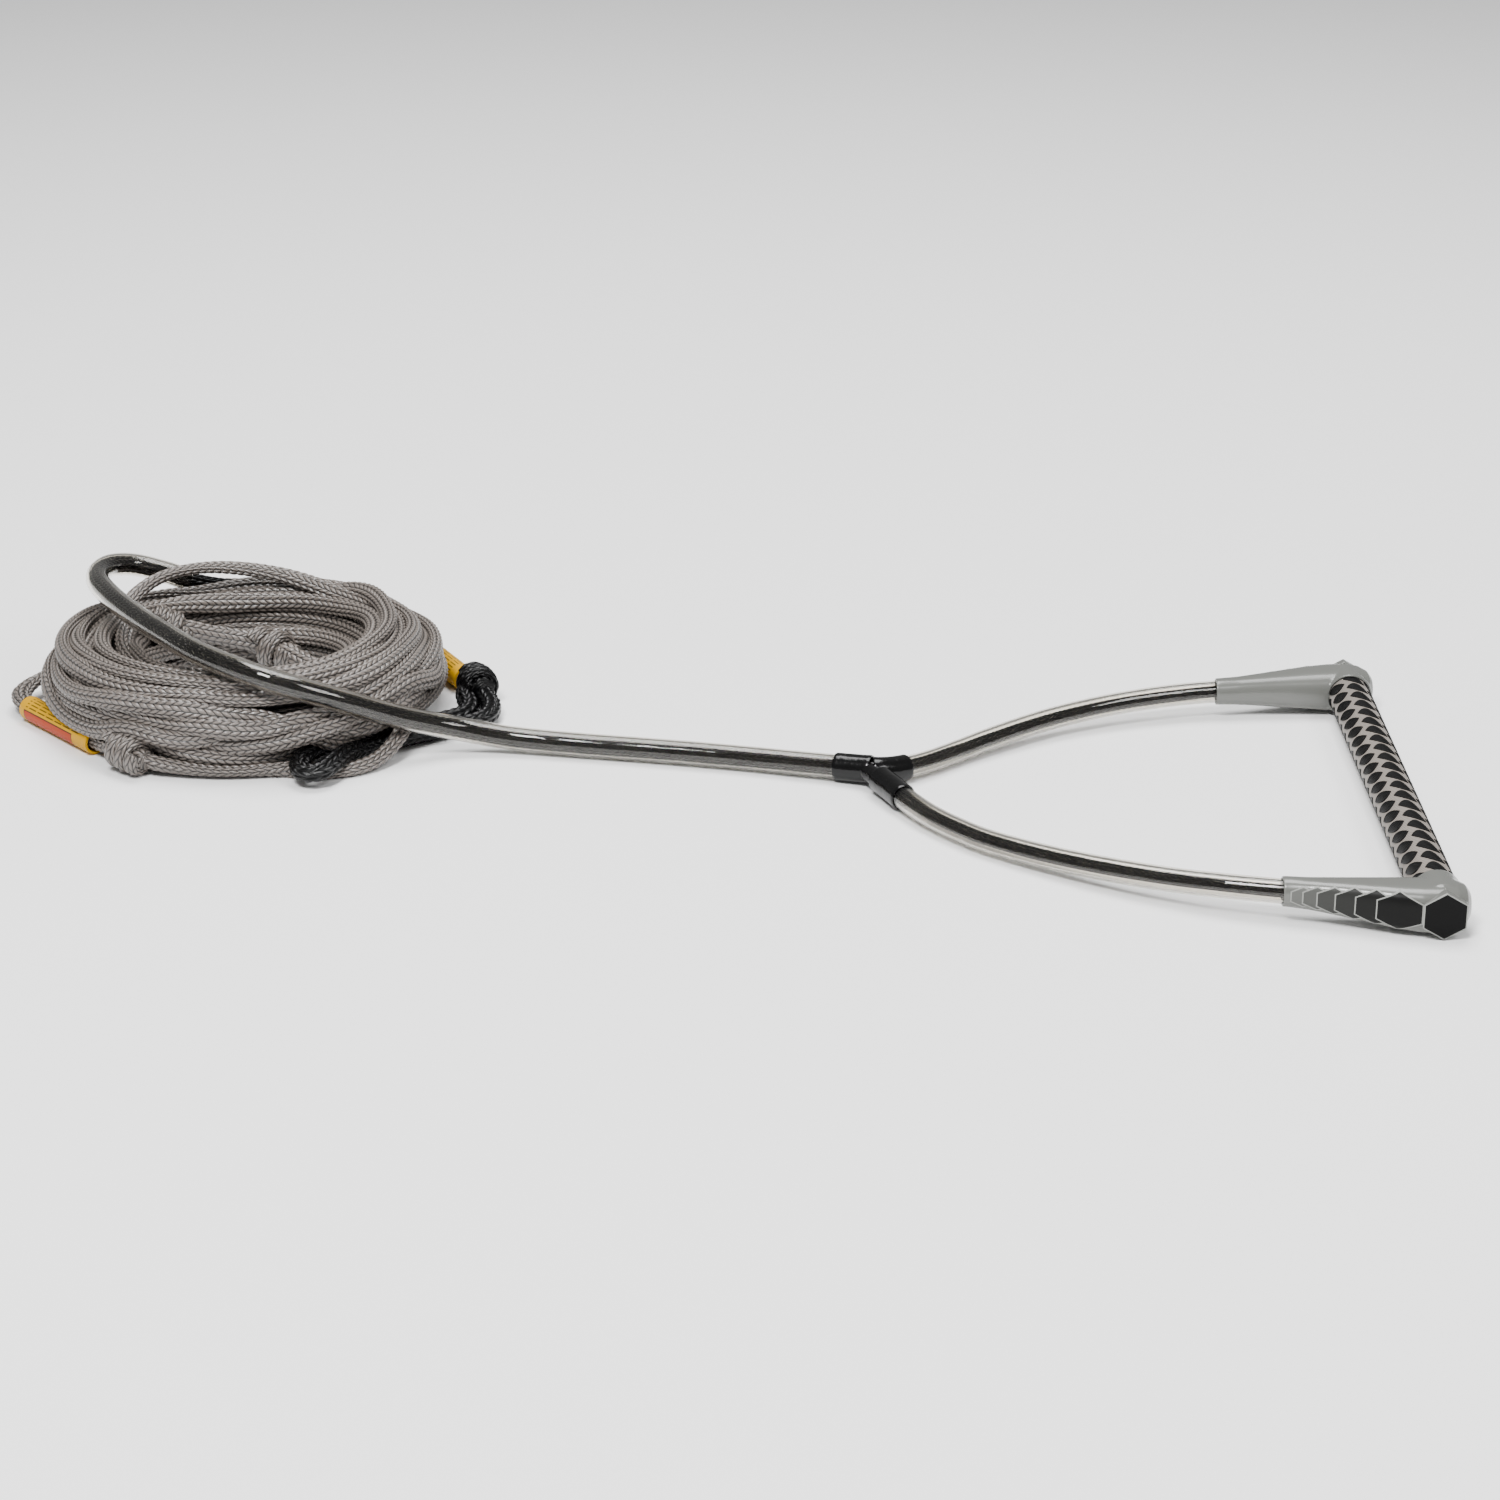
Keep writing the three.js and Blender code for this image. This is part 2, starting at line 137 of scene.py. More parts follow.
MAIN_HOSE = [
    (-149, 39.5, 10), (-168, 46, 9), (-190, 52.5, 8.5), (-222, 61.5, 8.1), (-259, 70, 8.1), (-297, 77.5, 8.1),
    (-335, 84.5, 8.3), (-374, 90.5, 10), (-408, 89, 17), (-443, 75, 30), (-481, 58, 48.5), (-521, 53, 63),
    (-565, 77, 70.5), (-592, 108, 72.5), (-619, 146, 73), (-641, 183, 73), (-654, 213, 72.5),
    (-657, 236, 71.5), (-652, 254, 70), (-640, 264, 67), (-622, 267, 61.5), (-602, 268, 54.5),
]
MAIN_ROPE_TAIL = [(-588, 272, 50), (-573, 279, 46), (-558, 285, 43), (-546, 289, 41.5)]
COUPLING_LINE = [(-522, 293, 37), (-514, 293, 35.5), (-499, 290, 32), (-485, 281, 28)]
CROSS_LINE = [
    (-444, 126, 25.5), (-441, 114, 23.5), (-439, 101, 21), (-440, 90, 18.5), (-443, 80, 15),
    (-448.5, 70, 9.6), (-456, 61, 5.6), (-465, 53.5, 4.5), (-476, 48, 4.3), (-492, 46.5, 4.3),
]
FRONT_LOOP = [
    (-513, 48, 4.6), (-530, 46, 5), (-548, 44.5, 5), (-566, 45, 5.6), (-584, 46, 8), (-597, 48, 10),
]
FRONT_LINE = [
    (-610, 56, 12), (-622, 69, 10.5), (-635.5, 84.2, 8.4), (-662.7, 114.9, 8.4), (-690, 145.5, 8.4),
    (-697.5, 156, 9), (-700.5, 169, 10.5), (-695, 182, 12.5), (-686, 193, 15),
]
REAR_LINE = [
    (-512, 289, 19), (-500, 296, 16), (-486, 300, 13), (-470, 297, 10.5), (-458, 286.5, 9),
    (-450.5, 273, 8.4), (-431.5, 237.3, 8.4), (-412.5, 201.5, 8.4), (-407, 191, 9.5), (-403, 183, 12),
]
FRONT_LABEL = [(-690, 145.5, 8.4), (-635.5, 84.2, 8.4)]
REAR_LABEL = [(-450.5, 273, 8.4), (-412.5, 201.5, 8.4)]
BOAT_LOOP = [
    (-399, 178, 12), (-397, 170, 10), (-391, 153, 8), (-393.5, 134, 7), (-412, 118, 6.6), (-434, 104.5, 6.6),
    (-451, 91, 7), (-464, 76, 8.4), (-474, 57, 12.4), (-480.5, 40, 12.2), (-485.5, 31.5, 10.8),
    (-493, 28.8, 10.2), (-499.5, 34, 10.8), (-500, 44, 12.6), (-493, 61, 12.2), (-482.5, 80, 10.8),
    (-465, 99.5, 8.4), (-443, 116, 7), (-422, 129.5, 6.6), (-408.5, 141, 7), (-406, 153, 8), (-409.5, 168, 10), (-407, 178, 12),
]
RAISED_TURN = [  # the strand that bridges the rear of the coil in the air
    (-640, 198, 50), (-633, 217, 59.5), (-617.6, 235, 67.5), (-593, 250, 69.5), (-566, 258, 66.5),
    (-539, 258, 62), (-519, 253, 57.5), (-498.6, 243, 53), (-478, 226, 52), (-460, 205, 51.5),
]
COIL_CENTRE = np.array([-552.0, 169.0])
COIL_RADIUS = 99.0  # middle of the coil's bundle
COIL_HEIGHT = 30.0
KNOTS = {
    "front_knot": ((-610, 56, 13.1), (0.76, -0.62, -0.1), 36, 25),
    "coupling_knot": ((-530, 292, 38), (1, 0.05, -0.15), 33, 24),
    "inner_knot": ((-541, 220, 23), (0.88, -0.45, -0.1), 38, 26),
    "boat_loop_knot": ((-402.5, 181, 13), (0.4, -0.9, 0), 27, 26),
    "left_knot": ((-608, 208, 42), (0.8, 0.25, -0.5), 30, 25),
}
INNER_BRAID = [  # the doubled stretch between the two inner knots
    (-630, 194, 46), (-612, 205, 44), (-598, 213, 39), (-583, 220, 33), (-568, 225, 28.5), (-553, 225, 25.5),
    (-541, 220, 23.5), (-530, 212, 22), (-518, 203, 19), (-504, 195, 16), (-490, 187, 15), (-474, 176, 16),
]

# Outer and inner radius of the hoses and sleeves, in millimetres.
MAIN_HOSE_RADII = (7.7, 6.1)
MAIN_SLEEVE_RADII = (8.8, 7.75)
LEG_HOSE_RADII = (7.2, 5.4)
LEG_SLEEVE_RADII = (8.3, 7.25)
LABEL_RADII = (8.0, 6.3)
# Width, thickness and pick of the black ropes in the hoses.
MAIN_ROPE = (11.2, 10.6, 4.6)
BRIDLE_ROPE = (7.8, 7.4, 3.9)
CROTCH_ROPE = (12.6, 12.2, 3.9)
LOOP_PICK = 6.0
LINE_COLUMNS = 10  # columns of yarn round the main line


def placed(points):
    """Millimetres of the routes to metres of the frame."""
    return (np.array(points, float) - [ORIGIN_X, 0, 0]) * MM


def mirrored(points):
    return [(x, -y, z) for x, y, z in points]


# ---- curves --------------------------------------------------------------------------------------
SPAN_SAMPLES = 24  # samples between two points of a route


def smooth_curve(points, step):
    """A centripetal Catmull-Rom curve through the points, sampled every step."""
    p = np.array(points, float)
    p = np.vstack([2 * p[0] - p[1], p, 2 * p[-1] - p[-2]])
    out = []
    for i in range(1, len(p) - 2):
        a, b, c, d = p[i - 1 : i + 3]
        t0 = 0.0
        t1 = t0 + math.sqrt(np.linalg.norm(b - a))
        t2 = t1 + math.sqrt(np.linalg.norm(c - b))
        t3 = t2 + math.sqrt(np.linalg.norm(d - c))
        t = np.linspace(t1, t2, SPAN_SAMPLES, endpoint=False)[:, None]
        ab = (t1 - t) / (t1 - t0) * a + (t - t0) / (t1 - t0) * b
        bc = (t2 - t) / (t2 - t1) * b + (t - t1) / (t2 - t1) * c
        cd = (t3 - t) / (t3 - t2) * c + (t - t2) / (t3 - t2) * d
        abc = (t2 - t) / (t2 - t0) * ab + (t - t0) / (t2 - t0) * bc
        bcd = (t3 - t) / (t3 - t1) * bc + (t - t1) / (t3 - t1) * cd
        out.append((t2 - t) / (t2 - t1) * abc + (t - t1) / (t2 - t1) * bcd)
    return spaced(np.vstack(out + [p[-2:-1]]), step)


def run_length(line):
    return np.concatenate([[0], np.cumsum(np.linalg.norm(np.diff(line, axis=0), axis=1))])


def spaced(line, step):
    along = run_length(line)
    count = max(2, int(round(along[-1] / step)) + 1)
    at = np.linspace(0, along[-1], count)
    return np.stack([np.interp(at, along, line[:, k]) for k in range(line.shape[1])], axis=1)


def unit(v):
    return v / np.maximum(np.linalg.norm(v, axis=-1, keepdims=True), 1e-12)


def tangents(line):
    return unit(np.gradient(line, axis=0))


def averaged(values, width):
    """A running mean that keeps the ends."""
    kernel = np.ones(width) / width
    pad = width // 2
    padded = np.pad(values, ((pad, pad), (0, 0)), mode="edge")
    return np.stack([np.convolve(padded[:, k], kernel, "valid") for k in range(values.shape[1])], axis=1)


def carried_normals(line, start):
    """Normals that follow the line without twisting, from a first direction."""
    t = tangents(line)
    normal = unit(np.array(start, float) - np.dot(start, t[0]) * t[0])
    out = [normal]
    for i in range(1, len(line)):
        normal = normal - np.dot(normal, t[i]) * t[i]
        normal = normal / max(np.linalg.norm(normal), 1e-9)
        out.append(normal)
    return np.array(out)


HUG_RADIUS = 260  # a bend of this radius or tighter, in millimetres, draws the rope fully to its inner side
HUG_EASE = 12  # points over which that fades at the hose's ends


def hugging(line, hose, play):
    """Moves a rope in its hose towards the inner side of each bend, by the play that the bore leaves."""
    bend = averaged(np.gradient(tangents(line), axis=0) / np.gradient(run_length(line))[:, None], 21)
    strength = np.clip(np.linalg.norm(bend, axis=1) * HUG_RADIUS, 0, 1)
    start, end = [int(np.argmin(np.linalg.norm(line - point, axis=1))) for point in (hose[0], hose[-1])]
    order = np.arange(len(line))
    ease = np.clip((order - start) / HUG_EASE, 0, 1) * np.clip((end - order) / HUG_EASE, 0, 1)
    return line + play * unit(bend) * (strength * ease)[:, None]


# ---- the coil's lay ------------------------------------------------------------------------------
# A turn's place in the bundle: [angle round the bundle in degrees, share of the way out to its skin].
SKIN, MIDDLE, CORE = 1.0, 0.66, 0.33
FIRST_SLOTS = (
    [(-4, SKIN), (-30, SKIN), (-56, SKIN), (-82, SKIN), (-108, SKIN), (-134, SKIN), (-160, SKIN)]
    + [(-140, MIDDLE), (-104, MIDDLE), (-68, MIDDLE), (-32, MIDDLE), (4, MIDDLE)]
    + [(-90, CORE), (-18, CORE), (-20, MIDDLE), (-18, SKIN), (-12, SKIN)]
)
SECOND_SLOTS = (
    [(-36, SKIN), (10, SKIN), (40, MIDDLE), (76, MIDDLE), (54, CORE), (126, CORE), (112, MIDDLE)]
    + [(148, MIDDLE), (184, MIDDLE), (174, SKIN), (148, SKIN), (122, SKIN), (96, SKIN), (86, SKIN)]
    + [(60, SKIN), (36, SKIN), (-22, SKIN)]
)
BUNDLE_WIDE = 26.0  # from the bundle's middle sideways to the middle of a turn in its skin
BUNDLE_HIGH = 25.5  # the same, up or down
LYING_HEIGHT = 4.4  # middle of a turn that lies on the floor
REAR_DROP = 0.09  # share of its height that the bundle loses at the rear
TURN_STEP = 4.0  # degrees from one point of a turn to the next
MOVE_SCATTER = 0.28  # turns by which a move to the next slot may be early or late
MOVE_LENGTHS = (0.16, 0.4)  # shortest and longest move, in turns
DRIFTS = ((1, 0.3), (2, 0.15), (3, 0.08))  # slow drifts round the bundle: waves in a turn, radians


def bundle_point(theta, angle, share):
    """A point of the coil from its place round the ring, in radians, and in the bundle."""
    level = 1 - REAR_DROP * np.clip(np.sin(theta), 0, 1)
    radius = COIL_RADIUS + BUNDLE_WIDE * share * np.cos(angle)
    height = LYING_HEIGHT + (COIL_HEIGHT - LYING_HEIGHT + BUNDLE_HIGH * share * np.sin(angle)) * level
    x = COIL_CENTRE[0] + radius * np.cos(theta)
    y = COIL_CENTRE[1] + radius * np.sin(theta)
    return np.stack([x, y, height], axis=1)


def laid_turns(start, end, slots, turns, rng):
    """Clockwise turns from one angle to another, each moving on to the next slot at its own place."""
    theta = np.radians(np.arange(start, end - 360 * turns, -TURN_STEP))
    turn = (theta[0] - theta) / TAU
    angles = np.radians([s[0] for s in slots])
    shares = np.array([s[1] for s in slots])
    angle = np.full(len(theta), angles[0])
    share = np.full(len(theta), shares[0])
    for i in range(1, len(slots)):
        middle = i * (turn[-1] / len(slots)) + rng.uniform(-MOVE_SCATTER, MOVE_SCATTER)
        width = rng.uniform(*MOVE_LENGTHS)
        t = np.clip((turn - middle + width / 2) / width, 0, 1)
        ease = t * t * (3 - 2 * t)
        angle = angle + ease * (angles[i] - angles[i - 1])
        share = share + ease * (shares[i] - shares[i - 1])
    for harmonic, size in DRIFTS:
        phase = rng.uniform(0, TAU, len(slots) + 2)
        drift = np.interp(turn, np.arange(len(phase)), np.cumsum(phase) / 2)
        angle = angle + size * np.sin(harmonic * theta + drift)
    return bundle_point(theta, angle, np.clip(share, 0.1, 1))


def bundle_normals(points):
    """Thin direction of the flat braid: away from the middle of the bundle."""
    flat = points[:, :2] - COIL_CENTRE
    radius = np.linalg.norm(flat, axis=1)
    outward = flat / radius[:, None]
    side = (radius - COIL_RADIUS)[:, None] * outward
    return unit(np.column_stack([side, points[:, 2] - COIL_HEIGHT]))


def push_out(points, obstacle, keep):
    """Moves points that are nearer than keep to an obstacle's line."""
    tree = KDTree(len(obstacle))
    for i, p in enumerate(obstacle):
        tree.insert(p, i)
    tree.balance()
    low, high = obstacle.min(0) - keep, obstacle.max(0) + keep
    for i in np.nonzero(((points > low) & (points < high)).all(1))[0]:
        nearest, _, distance = tree.find(points[i])
        if distance < keep:
            away = points[i] - np.array(nearest)
            points[i] += away / max(distance, 1e-6) * (keep - distance)


PAIRS_EVERY = 6  # rounds after which near points are looked up again
NEAR_ALONG = 3  # points this close along the line don't push each other
PUSH, SOFTEST = 0.4, 0.25  # share of an overlap cleared in one round, and the limit on its strength
SMOOTHING, HOMING, SPACING = 0.28, 0.015, 0.35  # shares of each correction made in one round
LOWEST = 4.3  # middle of a line pressed flat on the floor


def relaxed(points, pinned, obstacles, gap_thin, gap_wide, rounds):
    """Settles the turns: they keep their spacing, don't pass through each other and stay smooth."""
    home = points.copy()
    step = np.linalg.norm(np.diff(points, axis=0), axis=1)
    step = np.minimum(step, np.median(step) * 1.3)
    pairs = None
    for k in range(rounds):
        if k % PAIRS_EVERY == 0:
            tree = KDTree(len(points))
            for i, p in enumerate(points):
                tree.insert(p, i)
            tree.balance()
            found = [(i, j) for i, p in enumerate(points)
                     for _, j, _ in tree.find_range(p, gap_wide + 2.0) if j > i + NEAR_ALONG]
            pairs = np.array(found)
        normal = bundle_normals(points)
        a, b = pairs[:, 0], pairs[:, 1]
        delta = points[b] - points[a]
        n = unit(normal[a] + normal[b])
        thin = (delta * n).sum(1)
        wide = np.sqrt(np.maximum((delta * delta).sum(1) - thin * thin, 0))
        q = np.sqrt((thin / gap_thin) ** 2 + (wide / gap_wide) ** 2)
        hit = q < 1
        move = delta[hit] * (PUSH * (1 / np.maximum(q[hit], SOFTEST) - 1))[:, None]
        shift, count = np.zeros_like(points), np.ones(len(points))
        np.add.at(shift, a[hit], -move)
        np.add.at(shift, b[hit], move)
        np.add.at(count, a[hit], 0.5)
        np.add.at(count, b[hit], 0.5)
        points = points + shift / count[:, None]
        for obstacle, keep in obstacles:
            push_out(points, obstacle, keep)
        points[1:-1] += SMOOTHING * ((points[:-2] + points[2:]) / 2 - points[1:-1])
        points += HOMING * (home - points)
        for parity in (0, 1):
            i = np.arange(parity, len(points) - 1, 2)
            d = points[i + 1] - points[i]
            long = np.linalg.norm(d, axis=1)
            fix = (d / long[:, None]) * ((long - step[i]) * SPACING)[:, None]
            points[i] += fix
            points[i + 1] -= fix
        points[:, 2] = np.maximum(points[:, 2], LOWEST)
        points[pinned] = home[pinned]
    return points


LAY_STEP = 7.0
LAST_HIGH_TURN = 0.62  # share of the second turns after which the raised strand may begin
FAR_OFF = 1e6
GAPS = (7.5, 11.2)  # thin and wide distance between the middles of two turns
# What the turns lie against: its points and how far from them the middle of the line keeps.
HURDLES = [
    (MAIN_HOSE, 7.7 + 4.0), (BOAT_LOOP, 6.2 + 4.2), (FRONT_LABEL, 8.0 + 3.9), (REAR_LABEL, 8.0 + 3.9),
    ([MAIN_HOSE[-1]] + MAIN_ROPE_TAIL, 5.2 + 4.0), (INNER_BRAID, 6.3 + 3.8),
]


def lay_the_line():
    """The middle of the main line from the coupling knot to the boat loop, in millimetres."""
    settings = line_settings()
    rng = np.random.default_rng(7)
    first = laid_turns(57, -19, FIRST_SLOTS, settings.turns_first, rng)
    second = laid_turns(168, 73, SECOND_SLOTS, settings.turns_second, rng)
    raised = smooth_curve(RAISED_TURN, LAY_STEP)
    # The raised strand takes the place of the last high turn's pass over the rear.
    order = np.arange(len(second))
    to_start, to_end = [np.linalg.norm(second - end, axis=1) for end in (raised[0], raised[-1])]
    begin = int(np.argmin(np.where(order < LAST_HIGH_TURN * len(second), FAR_OFF, to_start)))
    finish = int(np.argmin(np.where(order > begin, to_end, FAR_OFF) + 0.4 * np.maximum(order - begin, 0)))
    # Each run of the line, and whether it stays where its route has it.
    runs = [
        (COUPLING_LINE, True), (first[3:-3], False), (CROSS_LINE + FRONT_LOOP + FRONT_LINE, True),
        (second[3 : begin - 2], False), (RAISED_TURN, True), (second[finish + 3 : -3], False),
        (REAR_LINE, True),
    ]
    curves = [smooth_curve(run, LAY_STEP) for run, _ in runs]
    points = np.vstack(curves)
    pinned = np.concatenate([np.full(len(curve), held) for curve, (_, held) in zip(curves, runs)])
    obstacles = [(smooth_curve(hurdle, 4), keep) for hurdle, keep in HURDLES]
    for centre, _, _, width in KNOTS.values():
        obstacles.append((np.array([centre], float), width / 2 + 3.6))
    return averaged(relaxed(points, pinned, obstacles, *GAPS, 150), 3)


# ---- mesh making ---------------------------------------------------------------------------------
def tube_uv(mesh, sides, along):
    """Metres along the tube and share of the way round, the seam's last column ending at 1."""
    loops = np.zeros(len(mesh.loops), np.int32)
    mesh.loops.foreach_get("vertex_index", loops)
    start = np.zeros(len(mesh.polygons), np.int32)
    mesh.polygons.foreach_get("loop_start", start)
    k = loops % sides
    at_seam = np.repeat(np.maximum.reduceat(k, start) == sides - 1, np.diff(np.append(start, len(loops))))
    around = np.where(at_seam & (k == 0), 1.0, k / sides)
    ring = (loops // sides) % len(along)
    layer = mesh.uv_layers.new(name="along_and_round")
    layer.data.foreach_set("uv", np.column_stack([along[ring] * MM, around]).astype(np.float32).ravel())


def new_piece(name, vertices, faces):
    mesh = bpy.data.meshes.new(name)
    mesh.from_pydata(np.asarray(vertices).tolist(), [], faces)
    mesh.shade_smooth()
    piece = bpy.data.objects.new(name, mesh)
    bpy.context.scene.collection.objects.link(piece)
    return piece


def tube_faces(rings, sides, closed_ends=True, offset=0, inward=False):
    """Quads between rings, and one flat face on each end."""
    i, j = np.meshgrid(np.arange(rings - 1), np.arange(sides), indexing="ij")
    a = offset + i * sides + j
    b = offset + i * sides + (j + 1) % sides
    quads = np.stack([a, b, b + sides, a + sides], axis=-1).reshape(-1, 4)
    if inward:
        quads = quads[:, ::-1]
    faces = quads.tolist()
    if closed_ends:
        faces.append([offset + k for k in range(sides)][::-1])
        faces.append([offset + (rings - 1) * sides + k for k in range(sides)])
    return faces


SLANT = 0.8  # picks that a yarn moves along the rope while it crosses its column


def braid_relief(s, around, pick, columns):
    """Height of the yarns, -1 to 1: slanted floats in columns that mirror each other."""
    column = around * columns
    turned = np.floor(column + 1e-6) % 2
    phase = s / pick + (2 * turned - 1) * SLANT * (column - np.floor(column + 1e-6)) + 0.5 * turned
    return 2 * np.abs(np.sin(np.pi * phase)) ** 0.7 * np.abs(np.sin(np.pi * column)) ** 0.6 - 1


FLOOR_GAP = 0.1 * MM
# Slow waves along a loose rope, by length in millimetres.
SPREAD_WAVES = (31.0, 12.3)
ROLL_WAVE = 47.0


def rope_piece(name, line, normals, wide, thick, pick, columns=12, sides=24, relief=0.35, loose=0.0):
    """A braided rope of flattened section along a line in millimetres."""
    step = line_settings().ring_step / MM
    both = spaced(np.hstack([line, normals]), step)
    centre, normal = both[:, :3], both[:, 3:]
    t = tangents(centre)
    normal = unit(normal - (normal * t).sum(1)[:, None] * t)
    side = np.cross(normal, t)
    s = run_length(centre)
    j = np.arange(sides) / sides
    bump = relief * braid_relief(s[:, None], j[None, :], pick, columns)
    phi = TAU * j
    # The hollow braid spreads and closes a little as it lies, and rolls on its side by a few degrees.
    slow, quick = SPREAD_WAVES
    spread = 1 + loose * (0.6 * np.sin(s / slow + s[-1]) + 0.4 * np.sin(s / quick + 1.7 * s[-1]))
    roll = 4.0 * loose * np.sin(s / ROLL_WAVE + 0.3 * s[-1])
    side, normal = (side * np.cos(roll)[:, None] + normal * np.sin(roll)[:, None],
                    normal * np.cos(roll)[:, None] - side * np.sin(roll)[:, None])
    across = (wide / 2 * spread[:, None] + bump) * np.cos(phi)[None, :]
    up = (thick / 2 / spread[:, None] + bump) * np.sin(phi)[None, :]
    rings = centre[:, None, :] + side[:, None, :] * across[..., None] + normal[:, None, :] * up[..., None]
    vertices = placed(rings.reshape(-1, 3))
    vertices[:, 2] = np.maximum(vertices[:, 2], FLOOR_GAP)  # the rope lies flat where it meets the floor
    faces = tube_faces(len(centre), sides)

    piece = new_piece(name, vertices, faces)
    tube_uv(piece.data, sides, s)
    piece["path"] = placed(centre).ravel().tolist()
    return piece


EDGE_ROUNDING = 1.2  # millimetres from a sleeve's end over which its outer edge rounds off


def hose_piece(name, line, outer, inner, sides, step, flare=0.0):
    """A hollow hose or sleeve along a line in millimetres, as one closed skin."""
    centre = spaced(line, step)
    normal = carried_normals(centre, (0, 0, 1))
    side = np.cross(normal, tangents(centre))
    phi = TAU * np.arange(sides) / sides
    around = np.cos(phi)[None, :, None] * side[:, None, :] + np.sin(phi)[None, :, None] * normal[:, None, :]
    distance = np.minimum(run_length(centre), run_length(centre)[::-1].max() - run_length(centre))
    round_off = flare * np.clip(1 - distance / EDGE_ROUNDING, 0, 1) ** 2
    skins = []
    for radius, sign in ((outer, -1), (inner, 0)):
        skin = centre[:, None, :] + around * (radius + sign * round_off)[:, None, None]
        skins.append(skin.reshape(-1, 3))
    count, n = len(centre), len(centre) * sides
    faces = tube_faces(count, sides, False) + tube_faces(count, sides, False, n, True)
    for k in range(sides):
        m = (k + 1) % sides
        faces.append([k, n + k, n + m, m])
        e = (count - 1) * sides
        faces.append([e + k, e + m, n + e + m, n + e + k])
    piece = new_piece(name, placed(np.vstack(skins)), faces)
    tube_uv(piece.data, sides, run_length(centre))
    piece["path"] = placed(centre).ravel().tolist()
    piece.data.set_sharp_from_angle(angle=math.radians(50))
    return piece


# ---- modelling with operators --------------------------------------------------------------------
def deselect_all():
    if bpy.context.object and bpy.context.object.mode != "OBJECT":
        bpy.ops.object.mode_set(mode="OBJECT")
    bpy.ops.object.select_all(action="DESELECT")


def make_active(piece):
    deselect_all()
    piece.select_set(True)
    bpy.context.view_layer.objects.active = piece


def finish_modifier(piece, kind, **settings):
    make_active(piece)
    modifier = piece.modifiers.new(kind.title(), kind)
    for name, value in settings.items():
        setattr(modifier, name, value)
    bpy.ops.object.modifier_apply(modifier=modifier.name)


def settle(piece):
    """Puts the object's place, turn and size into its mesh."""
    make_active(piece)
    bpy.ops.object.transform_apply(location=True, rotation=True, scale=True)


def at(x, y, z):
    return ((x - ORIGIN_X) * MM, y * MM, z * MM)


def select_faces(piece, test):
    """In edit mode, selects the faces whose middle and normal pass the test."""
    bpy.ops.object.mode_set(mode="OBJECT")
    for vertex in piece.data.vertices:
        vertex.select = False
    for edge in piece.data.edges:
        edge.select = False
    for polygon in piece.data.polygons:
        polygon.select = test(polygon.center, polygon.normal)
    bpy.ops.object.mode_set(mode="EDIT")


def cylinder(name, radius, depth, location, rotation, sides=64):
    deselect_all()
    bpy.ops.mesh.primitive_cylinder_add(
        vertices=sides, radius=radius * MM, depth=depth * MM, location=location, rotation=rotation)
    piece = bpy.context.object
    piece.name = name
    settle(piece)
    return piece


ALONG_X = (0, math.pi / 2, 0)
ALONG_Y = (math.pi / 2, 0, 0)


def combine(piece, other, operation):
    finish_modifier(piece, "BOOLEAN", operation=operation, object=other, solver="EXACT")
    bpy.data.objects.remove(other)


# Stations of an end cap: x, distance of its middle from the bar's middle, half width, height of its
# middle, half height.
CAP_STATIONS = [
    (84, 161.3, 8.7, 16.8, 8.7), (94, 162.8, 8.9, 16.6, 8.9), (104, 164.6, 9.8, 16.4, 9.6),
    (122, 168, 12.2, 15.9, 11.1), (140, 171.6, 15, 15.3, 12.7), (154, 173.4, 16.4, 14.9, 13.6),
    (166, 174, 16.5, 14.8, 14.1), (174, 173.8, 15.2, 14.8, 13.4), (179.5, 173.2, 12, 14.8, 11.2),
    (182.3, 172.6, 7.5, 14.8, 7.4), (183.2, 172, 3, 14.8, 3),
]


# How square the sections are at four places along X, on the outer and inner side: 2 is an ellipse.
SQUARING_AT = [84, 110, 166, 182]
OUTER_SQUARING = [2.2, 3.4, 3.6, 2.2]
INNER_SQUARING = [2.0, 2.4, 2.6, 2.2]
CAP_START = (COLLAR_X + 1.5, 160.8, 8.6, 16.8, 8.6)  # the station that the collar ends with
BOSS_RADIUS = 14.8
PLATE_RADIUS, PLATE_THICK = 14.3, 6  # the hexagonal end plate, corner to middle
SOCKET_RADIUS, SOCKET_DEEP = 13.75, 14  # takes the grip's end
BORE_RADIUS = 7.45  # takes the leg hose
CAP_VOXEL = 0.62


def square_up(cap, side):
    """Fills out the sections' corners, more and more towards the bar, so the outer side is nearly flat."""
    xs, middles, wides, highs, talls = np.array(CAP_STATIONS).T
    for vertex in cap.data.vertices:
        x = vertex.co.x / MM + ORIGIN_X
        middle, wide = np.interp(x, xs, middles), np.interp(x, xs, wides)
        high, tall = np.interp(x, xs, highs), np.interp(x, xs, talls)
        across, up = (vertex.co.y / MM - side * middle) / wide, (vertex.co.z / MM - high) / tall
        power = np.interp(x, SQUARING_AT, OUTER_SQUARING if across * side > 0 else INNER_SQUARING)
        reach = math.hypot(across, up) / max((abs(across) ** power + abs(up) ** power) ** (1 / power), 1e-6)
        vertex.co.y = (side * middle + across * reach * wide) * MM
        vertex.co.z = (high + up * reach * tall) * MM


